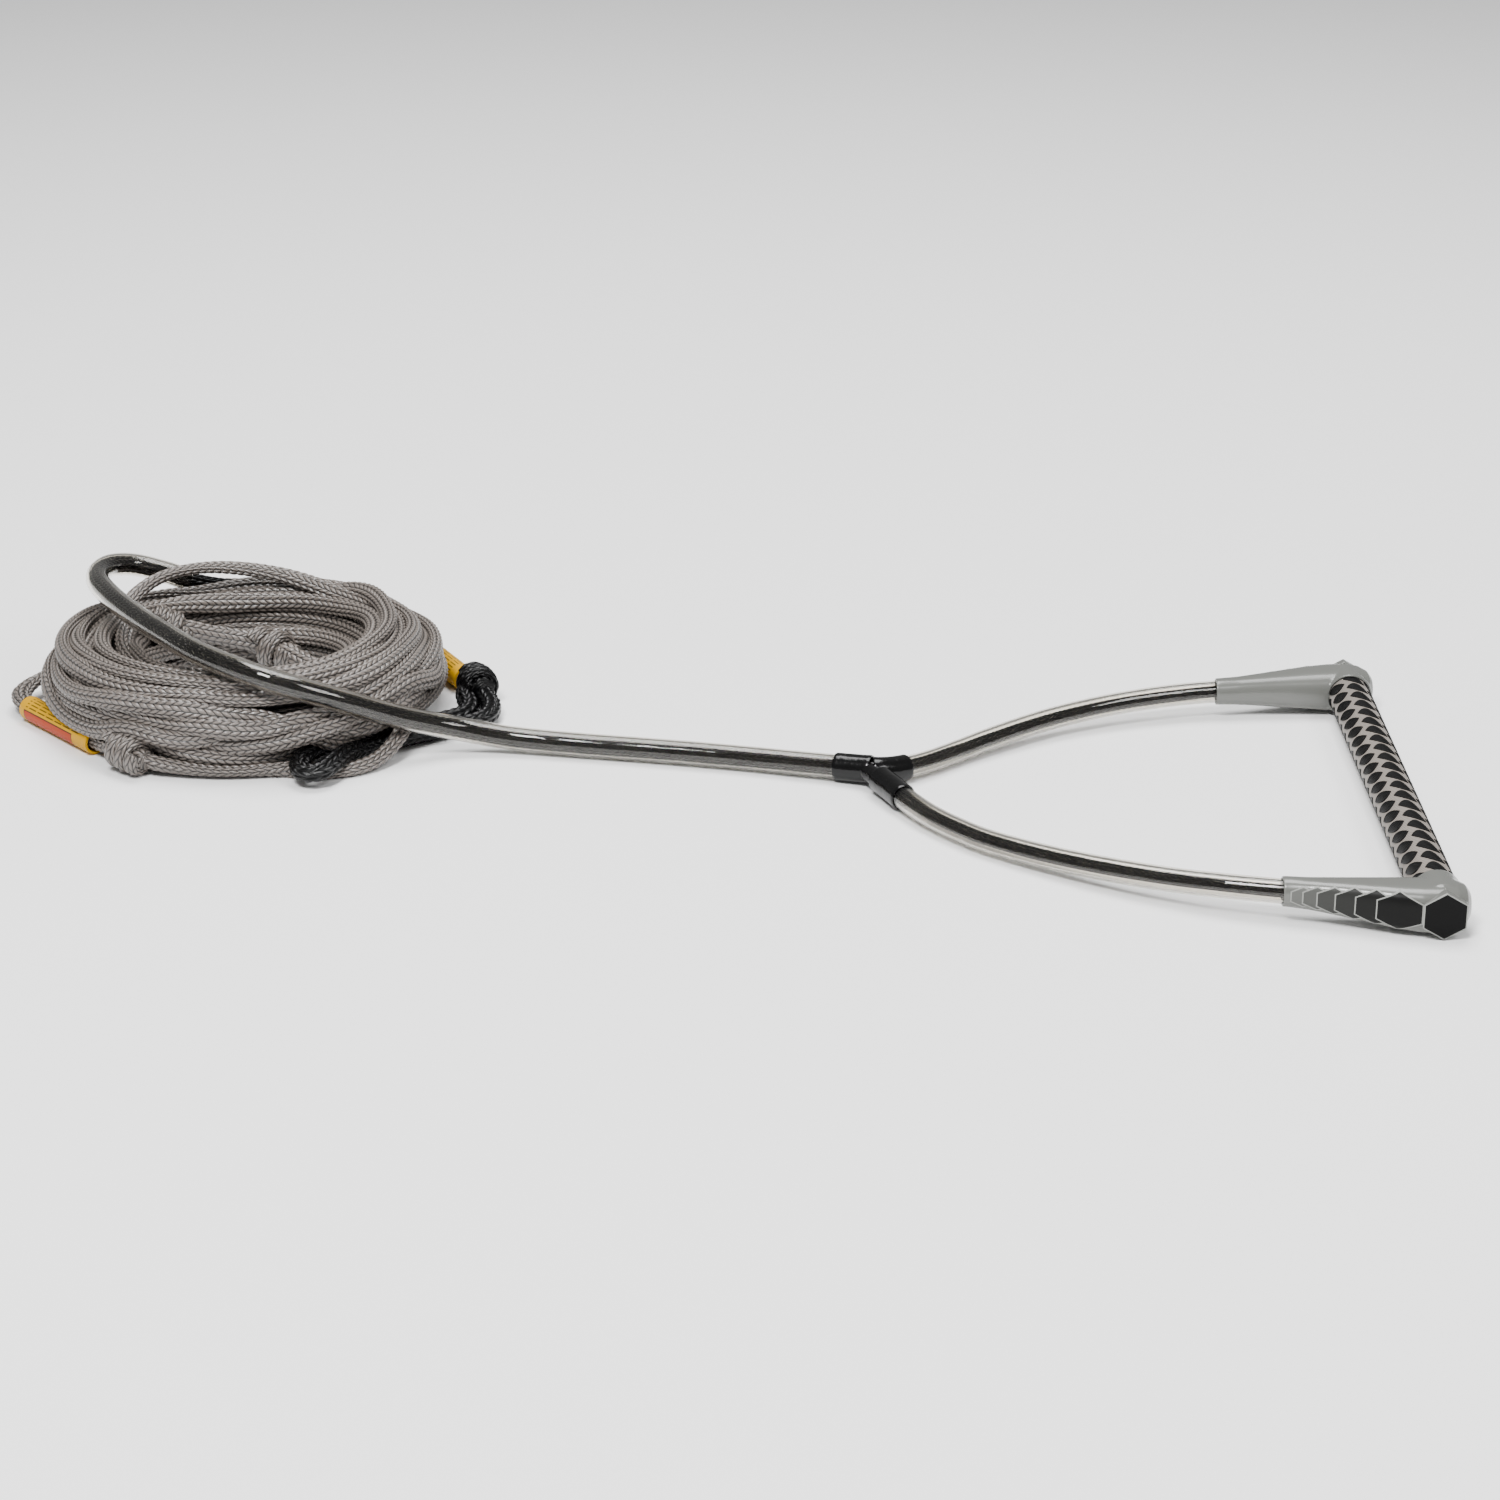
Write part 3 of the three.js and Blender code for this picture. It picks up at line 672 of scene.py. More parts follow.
def cap_body(name, side):
    """An end cap, drawn out from its collar by extruding and scaling the end face."""
    x, middle, wide, high, tall = CAP_START
    collar = cylinder(name, wide, 1.5, at(COLLAR_X + 0.75, side * middle, high), ALONG_X, 48)
    make_active(collar)
    for station in CAP_STATIONS:
        front = at(x, 0, 0)[0]
        select_faces(collar, lambda c, n: n.x > 0.9 and abs(c.x - front) < 1e-5)
        new_x, new_middle, new_wide, new_high, new_tall = station
        move = ((new_x - x) * MM, side * (new_middle - middle) * MM, (new_high - high) * MM)
        bpy.ops.mesh.extrude_region_move(TRANSFORM_OT_translate={"value": move})
        bpy.ops.transform.resize(
            value=(1, new_wide / wide, new_tall / tall),
            center_override=at(new_x, side * new_middle, new_high))
        x, middle, wide, high, tall = station
    bpy.ops.object.mode_set(mode="OBJECT")
    square_up(collar, side)
    boss = cylinder("boss", BOSS_RADIUS, 22, at(BAR_X, side * (BOSS_FACE + 11), BAR_Z), ALONG_Y, 96)
    combine(collar, boss, "UNION")
    finish_modifier(collar, "REMESH", mode="VOXEL", voxel_size=CAP_VOXEL * MM)
    finish_modifier(collar, "SMOOTH", factor=0.5, iterations=10)
    return collar


def end_cap(name, side, leg):
    cap = cap_body(name, side)
    plate_at = at(BAR_X, side * (HALF_WIDTH - PLATE_THICK / 2), BAR_Z)
    plate = cylinder("plate", PLATE_RADIUS, PLATE_THICK, plate_at, ALONG_Y, 6)
    finish_modifier(plate, "BEVEL", width=0.7 * MM, segments=3)
    combine(cap, plate, "UNION")
    socket_at = at(BAR_X, side * (BOSS_FACE + 6), BAR_Z)
    combine(cap, cylinder("socket", SOCKET_RADIUS, SOCKET_DEEP, socket_at, ALONG_Y, 96), "DIFFERENCE")
    combine(cap, hose_bore(leg), "DIFFERENCE")
    cap.name = name
    make_active(cap)
    bpy.ops.object.shade_smooth_by_angle(angle=math.radians(32))
    return cap


def hose_bore(leg):
    """The solid that leaves the leg hose's bore when it is taken out of a cap."""
    line = smooth_curve(leg[-3:], 2.0)
    line = line[line[:, 0] > COLLAR_X - 4]
    normal = carried_normals(line, (0, 0, 1))
    side = np.cross(normal, tangents(line))
    phi = TAU * np.arange(48) / 48
    rings = line[:, None, :] + BORE_RADIUS * (
        np.cos(phi)[None, :, None] * side[:, None, :] + np.sin(phi)[None, :, None] * normal[:, None, :])
    return new_piece("bore", placed(rings.reshape(-1, 3)), tube_faces(len(line), 48))


# Hexagons printed on the outer side: x, half width, half height, tone from 0, black, to 1, cap grey.
HEXAGONS = [
    (83.5, 5.6, 5.2, 0.56), (90, 7.2, 6.2, 0.42), (97.6, 8.4, 7.2, 0.3), (106.8, 9.9, 8.4, 0.16),
    (117.4, 10.8, 9.8, 0.08), (128.9, 11.6, 10.7, 0.035), (141.2, 12.6, 11.7, 0.015), (166, 12.2, 14.1, 0.0),
]


RIM_WIDTH = 0.7  # light outline of a hexagon
FLAT_TO_CORNER = 0.866  # a hexagon's half width across its flats, for a corner radius of 1
TILE_CUTS = 13
PRINT_START = 17.6  # height of the first hexagon's middle
TILE_LIFT, TILE_STEP, TILE_THICK = 0.05, 0.06, 0.3  # the first tile's height, what each adds, thickness


def flat_hexagon(side, place, half_wide, half_high, part):
    """The light outline or the field inside it, upright and finely divided."""
    shrink = 0 if part == "rim" else RIM_WIDTH
    deselect_all()
    bpy.ops.mesh.primitive_circle_add(
        vertices=6, radius=MM, fill_type="NGON", location=place, rotation=(-side * math.pi / 2, 0, 0))
    tile = bpy.context.object
    tile.scale = ((half_wide - shrink) / FLAT_TO_CORNER, half_high - shrink, 1)
    bpy.context.view_layer.update()
    settle(tile)
    bpy.ops.object.mode_set(mode="EDIT")
    bpy.ops.mesh.select_all(action="SELECT")
    if part == "rim":
        bpy.ops.mesh.inset(thickness=RIM_WIDTH * MM)
        bpy.ops.mesh.delete(type="FACE")
        bpy.ops.mesh.select_all(action="SELECT")
    else:
        bpy.ops.mesh.poke()
    bpy.ops.mesh.subdivide(number_cuts=TILE_CUTS)
    bpy.ops.object.mode_set(mode="OBJECT")
    return tile


def hexagon_tiles(name, side, cap):
    """Thin hexagons lying on the cap's outer side, each over the last, each with a light outline."""
    tiles = []
    for level, (x, half_wide, half_high, tone) in enumerate(HEXAGONS):
        share = min(max((x - COLLAR_X) / (BAR_X - COLLAR_X), 0), 1)
        height = PRINT_START + share * (BAR_Z - PRINT_START)
        lift = TILE_LIFT + TILE_STEP * level
        for part in ("rim", "field"):
            tile = flat_hexagon(side, at(x, side * 200, height), half_wide, half_high, part)
            finish_modifier(
                tile, "SHRINKWRAP", target=cap, wrap_method="PROJECT", use_project_x=False,
                use_project_y=True, use_project_z=False, use_negative_direction=True,
                use_positive_direction=True, offset=lift * MM)
            keep_on_cap(tile)
            finish_modifier(tile, "SOLIDIFY", thickness=TILE_THICK * MM, offset=-1.0)
            layer = tile.data.attributes.new("tone", "FLOAT", "POINT")
            shade = 1.0 if part == "rim" else tone
            layer.data.foreach_set("value", np.full(len(tile.data.vertices), shade, np.float32))
            tiles.append(tile)
    make_active(tiles[0])
    for tile in tiles:
        tile.select_set(True)
    bpy.ops.object.join()
    joined = bpy.context.object
    joined.name = name
    return joined


def keep_on_cap(tile):
    """Drops a tile's points that found no cap under them."""
    make_active(tile)
    bpy.ops.object.mode_set(mode="OBJECT")
    for vertex in tile.data.vertices:
        vertex.select = abs(vertex.co.y) > (HALF_WIDTH + 2) * MM or vertex.co.z < 0.4 * MM
    if any(v.select for v in tile.data.vertices):
        bpy.ops.object.mode_set(mode="EDIT")
        bpy.ops.mesh.delete(type="VERT")
        bpy.ops.object.mode_set(mode="OBJECT")


# ---- grip ----------------------------------------------------------------------------------------
PAD_TIP = np.array([6.6, -3.6])  # from a pad's middle, in millimetres round and along the bar
PAD_BULGES = (9.3, 3.6)  # how far its two edges bulge along the bar from the line between its tips
PAD_INSETS = ((0.42, 0.12), (0.45, -0.2), (1.3, 0.1))  # its raised rim: width and rise of each step
PAD_SINK = 0.15  # depth of a pad's underside in the net
FIRST_ROW = math.radians(6.5)
ROW_SHIFT = 0.9  # how far every other row is moved along the bar
PADS_EACH_WAY = 10  # pads in a row, each way from its middle pad
GRIP_HALF = 160.5
GRIP_BORE = 11.2


def pad_outline(count):
    """The outline of one leaf pad, in millimetres round and along the bar: count points to each edge."""
    out = np.array([0, 1])
    points = []
    for t in np.linspace(0, 1, count, endpoint=False):
        points.append(PAD_TIP * (2 * t - 1) + out * PAD_BULGES[0] * math.sin(math.pi * t) ** 0.9)
    for t in np.linspace(1, 0, count, endpoint=False):
        points.append(PAD_TIP * (2 * t - 1) - out * PAD_BULGES[1] * math.sin(math.pi * t) ** 0.9)
    return np.array(points)


def leaf_pad():
    """One pad, lying flat: a rounded leaf with a raised rim."""
    outline = pad_outline(9)
    deselect_all()
    bpy.ops.mesh.primitive_circle_add(vertices=len(outline), radius=MM, fill_type="NGON")
    pad = bpy.context.object
    for vertex, (u, v) in zip(pad.data.vertices, outline):
        vertex.co = (u * MM, v * MM, 0)
    if pad.data.polygons[0].normal.z < 0:
        pad.data.flip_normals()
    height = handle_settings().pad_height
    bpy.ops.object.mode_set(mode="EDIT")
    bpy.ops.mesh.select_all(action="SELECT")
    bpy.ops.mesh.extrude_region_move(TRANSFORM_OT_translate={"value": (0, 0, height)})
    for width, rise in PAD_INSETS:
        bpy.ops.mesh.inset(thickness=width * MM, depth=rise * MM)
    bpy.ops.object.mode_set(mode="OBJECT")
    return pad


def wrapped_pads(pad):
    """The pad copied in rows round the bar and along it, every other row turned half round."""
    settings = handle_settings()
    radius = settings.grip_radius
    flat = np.array([v.co for v in pad.data.vertices])
    faces = [list(p.vertices) for p in pad.data.polygons]
    # The pads' sloping edges take the net's light grey: partly the net's rubber round each pad, partly a
    # painted highlight along each pad's edge.
    edge = pad_outline(60)
    to_edge = np.array([np.linalg.norm(edge - v[:2] / MM, axis=1).min() for v in flat])
    on_rim = np.array([to_edge[f].min() < 0.12 for f in faces])
    vertices, all_faces = [], []
    rows, pitch = settings.pad_rows, settings.pad_pitch
    bar_x, _, bar_z = at(BAR_X, 0, BAR_Z)
    r = radius - PAD_SINK * MM + flat[:, 2]
    for row in range(rows):
        turned = -1 if row % 2 else 1
        for k in range(-PADS_EACH_WAY, PADS_EACH_WAY + 1):
            along = flat[:, 1] * turned + k * pitch - (ROW_SHIFT * MM if row % 2 else 0)
            angle = FIRST_ROW + row * TAU / rows + flat[:, 0] * turned / radius
            offset = len(flat) * len(vertices)
            vertices.append(np.column_stack([bar_x + r * np.sin(angle), along, bar_z + r * np.cos(angle)]))
            all_faces += [[offset + i for i in f] for f in faces]
    bpy.data.objects.remove(pad)
    pads = new_piece("grip_pads", np.vstack(vertices), all_faces)
    rim = np.tile(on_rim, len(vertices))
    pads.data.polygons.foreach_set("material_index", rim.astype(np.int32))
    outwards(pads)
    pads.data.set_sharp_from_angle(angle=math.radians(38))
    return pads


def outwards(piece):
    make_active(piece)
    bpy.ops.object.mode_set(mode="EDIT")
    bpy.ops.mesh.select_all(action="SELECT")
    bpy.ops.mesh.normals_make_consistent(inside=False)
    bpy.ops.object.mode_set(mode="OBJECT")


def grip_net():
    """The grip's sleeve between the end caps, hollow, with a rolled lip at each end."""
    radius = handle_settings().grip_radius / MM
    net = cylinder("grip_net", radius, 2 * GRIP_HALF, at(BAR_X, 0, BAR_Z), ALONG_Y, 96)
    for side in (-1, 1):
        end = side * GRIP_HALF * MM
        select_faces(net, lambda c, n: abs(n.y) > 0.9 and abs(c.y - end) < 1e-5)
        bpy.ops.mesh.inset(thickness=(radius - GRIP_BORE) * MM)
        bpy.ops.mesh.delete(type="FACE")
        bpy.ops.object.mode_set(mode="OBJECT")
    make_active(net)
    bpy.ops.object.mode_set(mode="EDIT")
    bpy.ops.mesh.select_mode(type="EDGE")
    bpy.ops.mesh.select_all(action="DESELECT")
    bpy.ops.mesh.select_non_manifold()
    bpy.ops.mesh.bridge_edge_loops()
    bpy.ops.mesh.select_mode(type="VERT")
    bpy.ops.object.mode_set(mode="OBJECT")
    finish_modifier(
        net, "BEVEL", width=0.3 * MM, segments=2, limit_method="ANGLE", angle_limit=math.radians(40))
    outwards(net)
    bpy.ops.object.shade_smooth_by_angle(angle=math.radians(40))
    return net


# ---- knots ---------------------------------------------------------------------------------------
WRAP_POINTS = 30  # points in one wrap
HEART_SPARE = 2.4  # how much thicker a knot's heart is than the room in its wraps


def knot_route(centre, direction, long, wide, rope_wide, rope_thick, wraps):
    """A strand that wraps round the knot's own axis and crosses back over its wraps."""
    axis = unit(np.array(direction, float))
    up = unit(np.array([0, 0, 1.0]) - axis[2] * axis)
    side = np.cross(axis, up)
    radius = wide / 2 - rope_thick / 2
    reach = long / 2 - rope_wide / 2
    steps = WRAP_POINTS * wraps
    t = np.linspace(0, 1, steps)
    turn = TAU * wraps * t + 0.6
    swell = radius * (0.9 + 0.1 * np.sin(math.pi * t))
    wound = np.stack([(2 * t - 1) * reach, swell * np.cos(turn), swell * np.sin(turn)], axis=1)
    route = np.array(centre) + wound @ np.stack([axis, side, up])
    return route, unit((wound * [0, 1, 1]) @ np.stack([axis, side, up]))


def knot(name, rope_wide, rope_thick, pick, wraps, columns=LINE_COLUMNS):
    """A knot of wraps round a heart, as one piece with the name of its place in KNOTS."""
    centre, direction, long, wide = KNOTS[name]
    route, out = knot_route(centre, direction, long, wide, rope_wide, rope_thick, wraps)
    wound = rope_piece(name, route, out, rope_wide, rope_thick, pick, columns, columns * 3, relief=0.5)
    axis = unit(np.array(direction, float))
    reach = long / 2 - 1
    core_line = np.array([np.array(centre) + axis * d for d in np.linspace(-reach, reach, 20)])
    core_wide = wide - 2 * rope_thick + HEART_SPARE
    core = rope_piece(name + "_heart", core_line, carried_normals(core_line, (0, 0, 1)),
                      core_wide, core_wide, pick, columns, columns * 3)
    make_active(wound)
    core.select_set(True)
    bpy.ops.object.join()
    return wound


# ---- materials -----------------------------------------------------------------------------------
def node(tree, kind, inputs=None, out=0, to=None, **settings):
    """Adds a node with its settings and its links, and gives the output that is asked for."""
    added = tree.nodes.new("ShaderNode" + kind)
    for name, value in settings.items():
        setattr(added, name, value)
    for socket, value in (inputs or {}).items():
        if isinstance(value, bpy.types.NodeSocket):
            tree.links.new(value, added.inputs[socket])
        else:
            added.inputs[socket].default_value = value
    if to is not None:
        tree.links.new(added.outputs[out], to)
    return added.outputs[out]


def material(name, **values):
    made = bpy.data.materials.new(name)
    made.use_nodes = True
    tree = made.node_tree
    shader = tree.nodes["Principled BSDF"]
    for socket, value in values.items():
        shader.inputs[socket.replace("_", " ")].default_value = value
    return made, tree, shader


def toned(shade, factor):
    """A colour made lighter or darker."""
    return [min(c * factor, 1.0) for c in shade[:3]] + [1.0]


def braid_material(name, light, gap_shade, pick, columns, roughness, shine):
    """Braided yarn: columns of slanted floats with painted shade in the gaps between them, painted glints on
    the yarn and fine filaments along each float.
    """
    made, tree, shader = material(name, Roughness=roughness, Specular_IOR_Level=shine)
    uv = node(tree, "UVMap", uv_map="along_and_round")
    along, around, _ = node(tree, "SeparateXYZ", {0: uv}).node.outputs
    column = node(tree, "Math", {0: around, 1: columns}, operation="MULTIPLY")
    across = node(tree, "Math", {0: column}, operation="FRACT")
    column_number = node(tree, "Math", {0: column}, operation="FLOOR")
    turned = node(tree, "Math", {0: column_number, 1: 2.0}, operation="MODULO")
    direction = node(tree, "Math", {0: turned, 1: 2 * SLANT, 2: -SLANT}, operation="MULTIPLY_ADD")
    slanted = node(tree, "Math", {0: direction, 1: across}, operation="MULTIPLY")
    picks = node(tree, "Math", {0: along, 1: 1000 / pick, 2: slanted}, operation="MULTIPLY_ADD")
    phase = node(tree, "Math", {0: turned, 1: 0.5, 2: picks}, operation="MULTIPLY_ADD")
    # A float is highest in the middle of its length and of its column.
    float_turn = node(tree, "Math", {0: phase, 1: math.pi}, operation="MULTIPLY")
    float_wave = node(tree, "Math", {0: float_turn}, operation="SINE")
    wave = node(tree, "Math", {0: float_wave}, operation="ABSOLUTE")
    ridge_turn = node(tree, "Math", {0: across, 1: math.pi}, operation="MULTIPLY")
    ridge = node(tree, "Math", {0: ridge_turn}, operation="SINE")
    arch = node(tree, "Math", {0: wave, 1: ridge}, operation="MULTIPLY")
    height = node(tree, "Math", {0: arch, 1: 0.45}, operation="POWER")
    # Each float has its own tone, from its column and its number along the rope.
    float_number = node(tree, "Math", {0: phase}, operation="FLOOR")
    float_place = node(tree, "CombineXYZ", {0: float_number, 1: column_number})
    tone = node(tree, "TexWhiteNoise", {0: float_place}, noise_dimensions="2D")
    yarn = node(tree, "Mix", {0: tone, 6: toned(light, 0.78), 7: light}, out=2, data_type="RGBA")
    # Filaments lie across the column, so the noise is fine round the rope and long along the yarn.
    fine = node(tree, "Math", {0: phase, 1: 9.0}, operation="MULTIPLY")
    long = node(tree, "Math", {0: column, 1: 0.8}, operation="MULTIPLY")
    grain_place = node(tree, "CombineXYZ", {0: fine, 1: long})
    grain = node(tree, "TexNoise", {0: grain_place, "Scale": 1.0, "Detail": 3.0}, noise_dimensions="3D")
    # Painted glints: where the filament noise is high the yarn's colour is lifted towards a lighter copy of
    # it, a painted highlight.
    painted_glint = node(tree, "MapRange", {0: grain, 1: 0.3, 2: 0.7, 3: 0.0, 4: 0.35})
    yarn = node(tree, "Mix", {0: painted_glint, 6: yarn, 7: toned(light, 1.6)}, out=2, data_type="RGBA")
    # Painted shade: where the floats are low, in the gaps between them, the colour goes to the gap shade
    # colour.
    shade = node(tree, "MapRange", {0: height, 1: 0.25, 2: 0.75, 3: 0.0, 4: 1.0})
    node(tree, "Mix", {0: shade, 6: gap_shade, 7: yarn}, out=2, to=shader.inputs["Base Color"], data_type="RGBA")
    relief = node(tree, "Math", {0: grain, 1: 0.22, 2: height}, operation="MULTIPLY_ADD")
    node(tree, "Bump", {"Strength": 0.9, "Distance": 0.9 * MM, "Height": relief}, to=shader.inputs["Normal"])
    return made


# In the materials below, a noise's Scale is 1000 over the size of its features in millimetres.
def clear_pvc():
    # Extruded clear PVC: smooth and glossy with long highlights and a faint warm tint.
    made, tree, shader = material(
        "clear_pvc", Base_Color=handle_settings().hose_clear, Roughness=0.04, IOR=1.42,
        Specular_IOR_Level=0.2, Transmission_Weight=1.0)
    place = node(tree, "TexCoord", out="Object")
    waves = node(tree, "TexNoise", {0: place, "Scale": 1000 / 9.0, "Detail": 2.0})
    node(tree, "Bump", {"Strength": 0.12, "Distance": 0.4 * MM, "Height": waves}, to=shader.inputs["Normal"])
    return made


def shrink_tube():
    # Heat-shrunk polyolefin: glossy black, with soft waves from what lies under it.
    made, tree, shader = material(
        "shrink_tube", Roughness=0.18, IOR=1.5, Specular_IOR_Level=0.25, Coat_Weight=0.1,
        Coat_Roughness=0.05)
    place = node(tree, "TexCoord", out="Object")
    cloud = node(tree, "TexNoise", {0: place, "Scale": 1000 / 5.0, "Detail": 2.0})
    node(tree, "Mix", {0: cloud, 6: linear("#040404"), 7: linear("#0a0a0b")}, out=2,
         to=shader.inputs["Base Color"], data_type="RGBA")
    waves = node(tree, "TexNoise", {0: place, "Scale": 1000 / 4.0, "Detail": 2.0})
    node(tree, "Bump", {"Strength": 0.35, "Distance": 0.6 * MM, "Height": waves}, to=shader.inputs["Normal"])
    return made


def moulded_urethane():
    # Moulded urethane: glossy warm grey with a fine orange peel.
    made, tree, shader = material(
        "moulded_urethane", Roughness=0.27, IOR=1.5, Coat_Weight=0.25, Coat_Roughness=0.12)
    grey = handle_settings().cap_grey
    place = node(tree, "TexCoord", out="Object")
    cloud = node(tree, "TexNoise", {0: place, "Scale": 1000 / 14.0, "Detail": 2.0})
    node(tree, "Mix", {0: cloud, 6: toned(grey, 0.93), 7: list(grey)}, out=2,
         to=shader.inputs["Base Color"], data_type="RGBA")
    peel = node(tree, "TexNoise", {0: place, "Scale": 1000 / 1.1, "Detail": 3.0})
    node(tree, "Bump", {"Strength": 0.12, "Distance": 0.15 * MM, "Height": peel}, to=shader.inputs["Normal"])
    return made


def cap_print():
    # Pad-printed hexagons: satin black fading to the cap's grey by the tone attribute.
    made, tree, shader = material("cap_print", Roughness=0.42, IOR=1.48, Specular_IOR_Level=0.12)
    tone = node(tree, "Attribute", out="Fac", attribute_name="tone")
    node(tree, "Mix", {0: tone, 6: linear("#050505"), 7: linear("#8f908c")}, out=2,
         to=shader.inputs["Base Color"], data_type="RGBA")
    place = node(tree, "TexCoord", out="Object")
    peel = node(tree, "TexNoise", {0: place, "Scale": 1000 / 0.9, "Detail": 3.0})
    node(tree, "Bump", {"Strength": 0.1, "Distance": 0.1 * MM, "Height": peel}, to=shader.inputs["Normal"])
    return made


def rubber_net():
    # Moulded rubber, light layer: matt warm grey with a fine criss-cross of ribs about 1 mm apart.
    made, tree, shader = material("rubber_net", Roughness=0.62, IOR=1.5, Sheen_Weight=0.1)
    grey = handle_settings().net_grey
    place = node(tree, "TexCoord", out="Object")
    ribs = node(tree, "TexWave", {0: place, "Scale": 155.0, "Distortion": 1.5, "Detail": 1.0,
                                  "Detail Scale": 2.0}, out=1, bands_direction="Y")
    # The colour follows the ribs: a painted highlight on each rib and painted shade between them.
    node(tree, "Mix", {0: ribs, 6: toned(grey, 0.62), 7: toned(grey, 1.15)}, out=2,
         to=shader.inputs["Base Color"], data_type="RGBA")
    node(tree, "Bump", {"Strength": 0.6, "Distance": 0.35 * MM, "Height": ribs}, to=shader.inputs["Normal"])
    return made


def rubber_pads():
    # Moulded rubber, dark layer: satin black pads with fine ribs about 0.9 mm apart.
    made, tree, shader = material("rubber_pads", Roughness=0.5, IOR=1.5, Specular_IOR_Level=0.12)
    black = handle_settings().pad_black
    place = node(tree, "TexCoord", out="Object")
    ribs = node(tree, "TexWave", {0: place, "Scale": 180.0, "Distortion": 3.0, "Detail": 1.0,
                                  "Detail Scale": 1.5}, out=1, bands_direction="Y")
    node(tree, "Mix", {0: ribs, 6: list(black), 7: toned(black, 2.5)}, out=2,
         to=shader.inputs["Base Color"], data_type="RGBA")
    node(tree, "Bump", {"Strength": 0.5, "Distance": 0.25 * MM, "Height": ribs}, to=shader.inputs["Normal"])
    return made


def printed_area(tree, bands):
    """1 where every value lies between its two limits, else 0."""
    share = 1.0
    for value, low, high in bands:
        inside = node(tree, "Math", {0: value, 1: (low + high) / 2, 2: (high - low) / 2}, operation="COMPARE")
        share = node(tree, "Math", {0: inside, 1: share}, operation="MULTIPLY")
    return share


def printed_vinyl(name, panel):
    # Printed flexible vinyl sleeve: satin yellow with plain dark bars, and an orange panel on one of them.
    made, tree, shader = material(name, Roughness=0.45, IOR=1.5, Specular_IOR_Level=0.15)
    settings = handle_settings()
    place = node(tree, "TexCoord", out="Object")
    uv = node(tree, "UVMap", uv_map="along_and_round")
    # Places along the sleeve are in metres, and places round it are shares of the way round.
    along, around, _ = node(tree, "SeparateXYZ", {0: uv}).node.outputs
    wear = node(tree, "TexNoise", {0: place, "Scale": 1000 / 6.0, "Detail": 4.0})
    ink = node(tree, "Mix", {0: wear, 6: toned(settings.label_yellow, 0.9), 7: list(settings.label_yellow)},
               out=2, data_type="RGBA")
    # Bars: thin rows on the upper side, each broken every few millimetres along it.
    rows = node(tree, "Math", {0: around, 1: 21.0}, operation="MULTIPLY")
    row = node(tree, "Math", {0: rows}, operation="FRACT")
    dash = node(tree, "Math", {0: along, 1: 0.0105, 2: 0.0}, operation="WRAP")
    layers = [((row, 0.3, 0.62), (dash, 0.0006, 0.0092), (along, 0.007, 0.072), (around, 0.02, 0.42),
               linear("#4a3d12"))]
    if panel:
        layers += [((along, 0.0058, 0.0652), (around, 0.445, 0.655), linear("#2a2014")),
                   ((along, 0.0066, 0.0644), (around, 0.46, 0.64), list(settings.label_orange))]
    for *bands, printed in layers:
        ink = node(tree, "Mix", {0: printed_area(tree, bands), 6: ink, 7: printed}, out=2, data_type="RGBA")
    tree.links.new(ink, shader.inputs["Base Color"])
    peel = node(tree, "TexNoise", {0: place, "Scale": 1000 / 2.0, "Detail": 3.0})
    node(tree, "Bump", {"Strength": 0.2, "Distance": 0.2 * MM, "Height": peel}, to=shader.inputs["Normal"])
    return made


def satin_aluminium():
    # Drawn aluminium tube: bare metal, brushed round by the die.
    made, tree, shader = material("satin_aluminium", Metallic=1.0, Roughness=0.34)
    place = node(tree, "TexCoord", out="Object")
    cloud = node(tree, "TexNoise", {0: place, "Scale": 1000 / 0.8, "Detail": 3.0})
    node(tree, "Mix", {0: cloud, 6: linear("#b5b7ba"), 7: linear("#c9cbce")}, out=2,
         to=shader.inputs["Base Color"], data_type="RGBA")
    return made


def eva_foam():
    # Closed-cell EVA foam: matt black with small cells.
    made, tree, shader = material("eva_foam", Roughness=0.9)
    place = node(tree, "TexCoord", out="Object")
    cells = node(tree, "TexNoise", {0: place, "Scale": 1000 / 1.2, "Detail": 3.0})
    node(tree, "Mix", {0: cells, 6: linear("#202023"), 7: linear("#303034")}, out=2,
         to=shader.inputs["Base Color"], data_type="RGBA")
    node(tree, "Bump", {"Strength": 0.5, "Distance": 0.3 * MM, "Height": cells}, to=shader.inputs["Normal"])
    return made


def dress(piece, made):
    piece.data.materials.clear()
    piece.data.materials.append(made)


def dress_node(name, made):
    """A better finish on a solid of the frame that stays in sight."""
    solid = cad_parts[name]
    if not solid.material_slots:
        solid.data.materials.append(made)
    for place in solid.material_slots:
        place.material = made


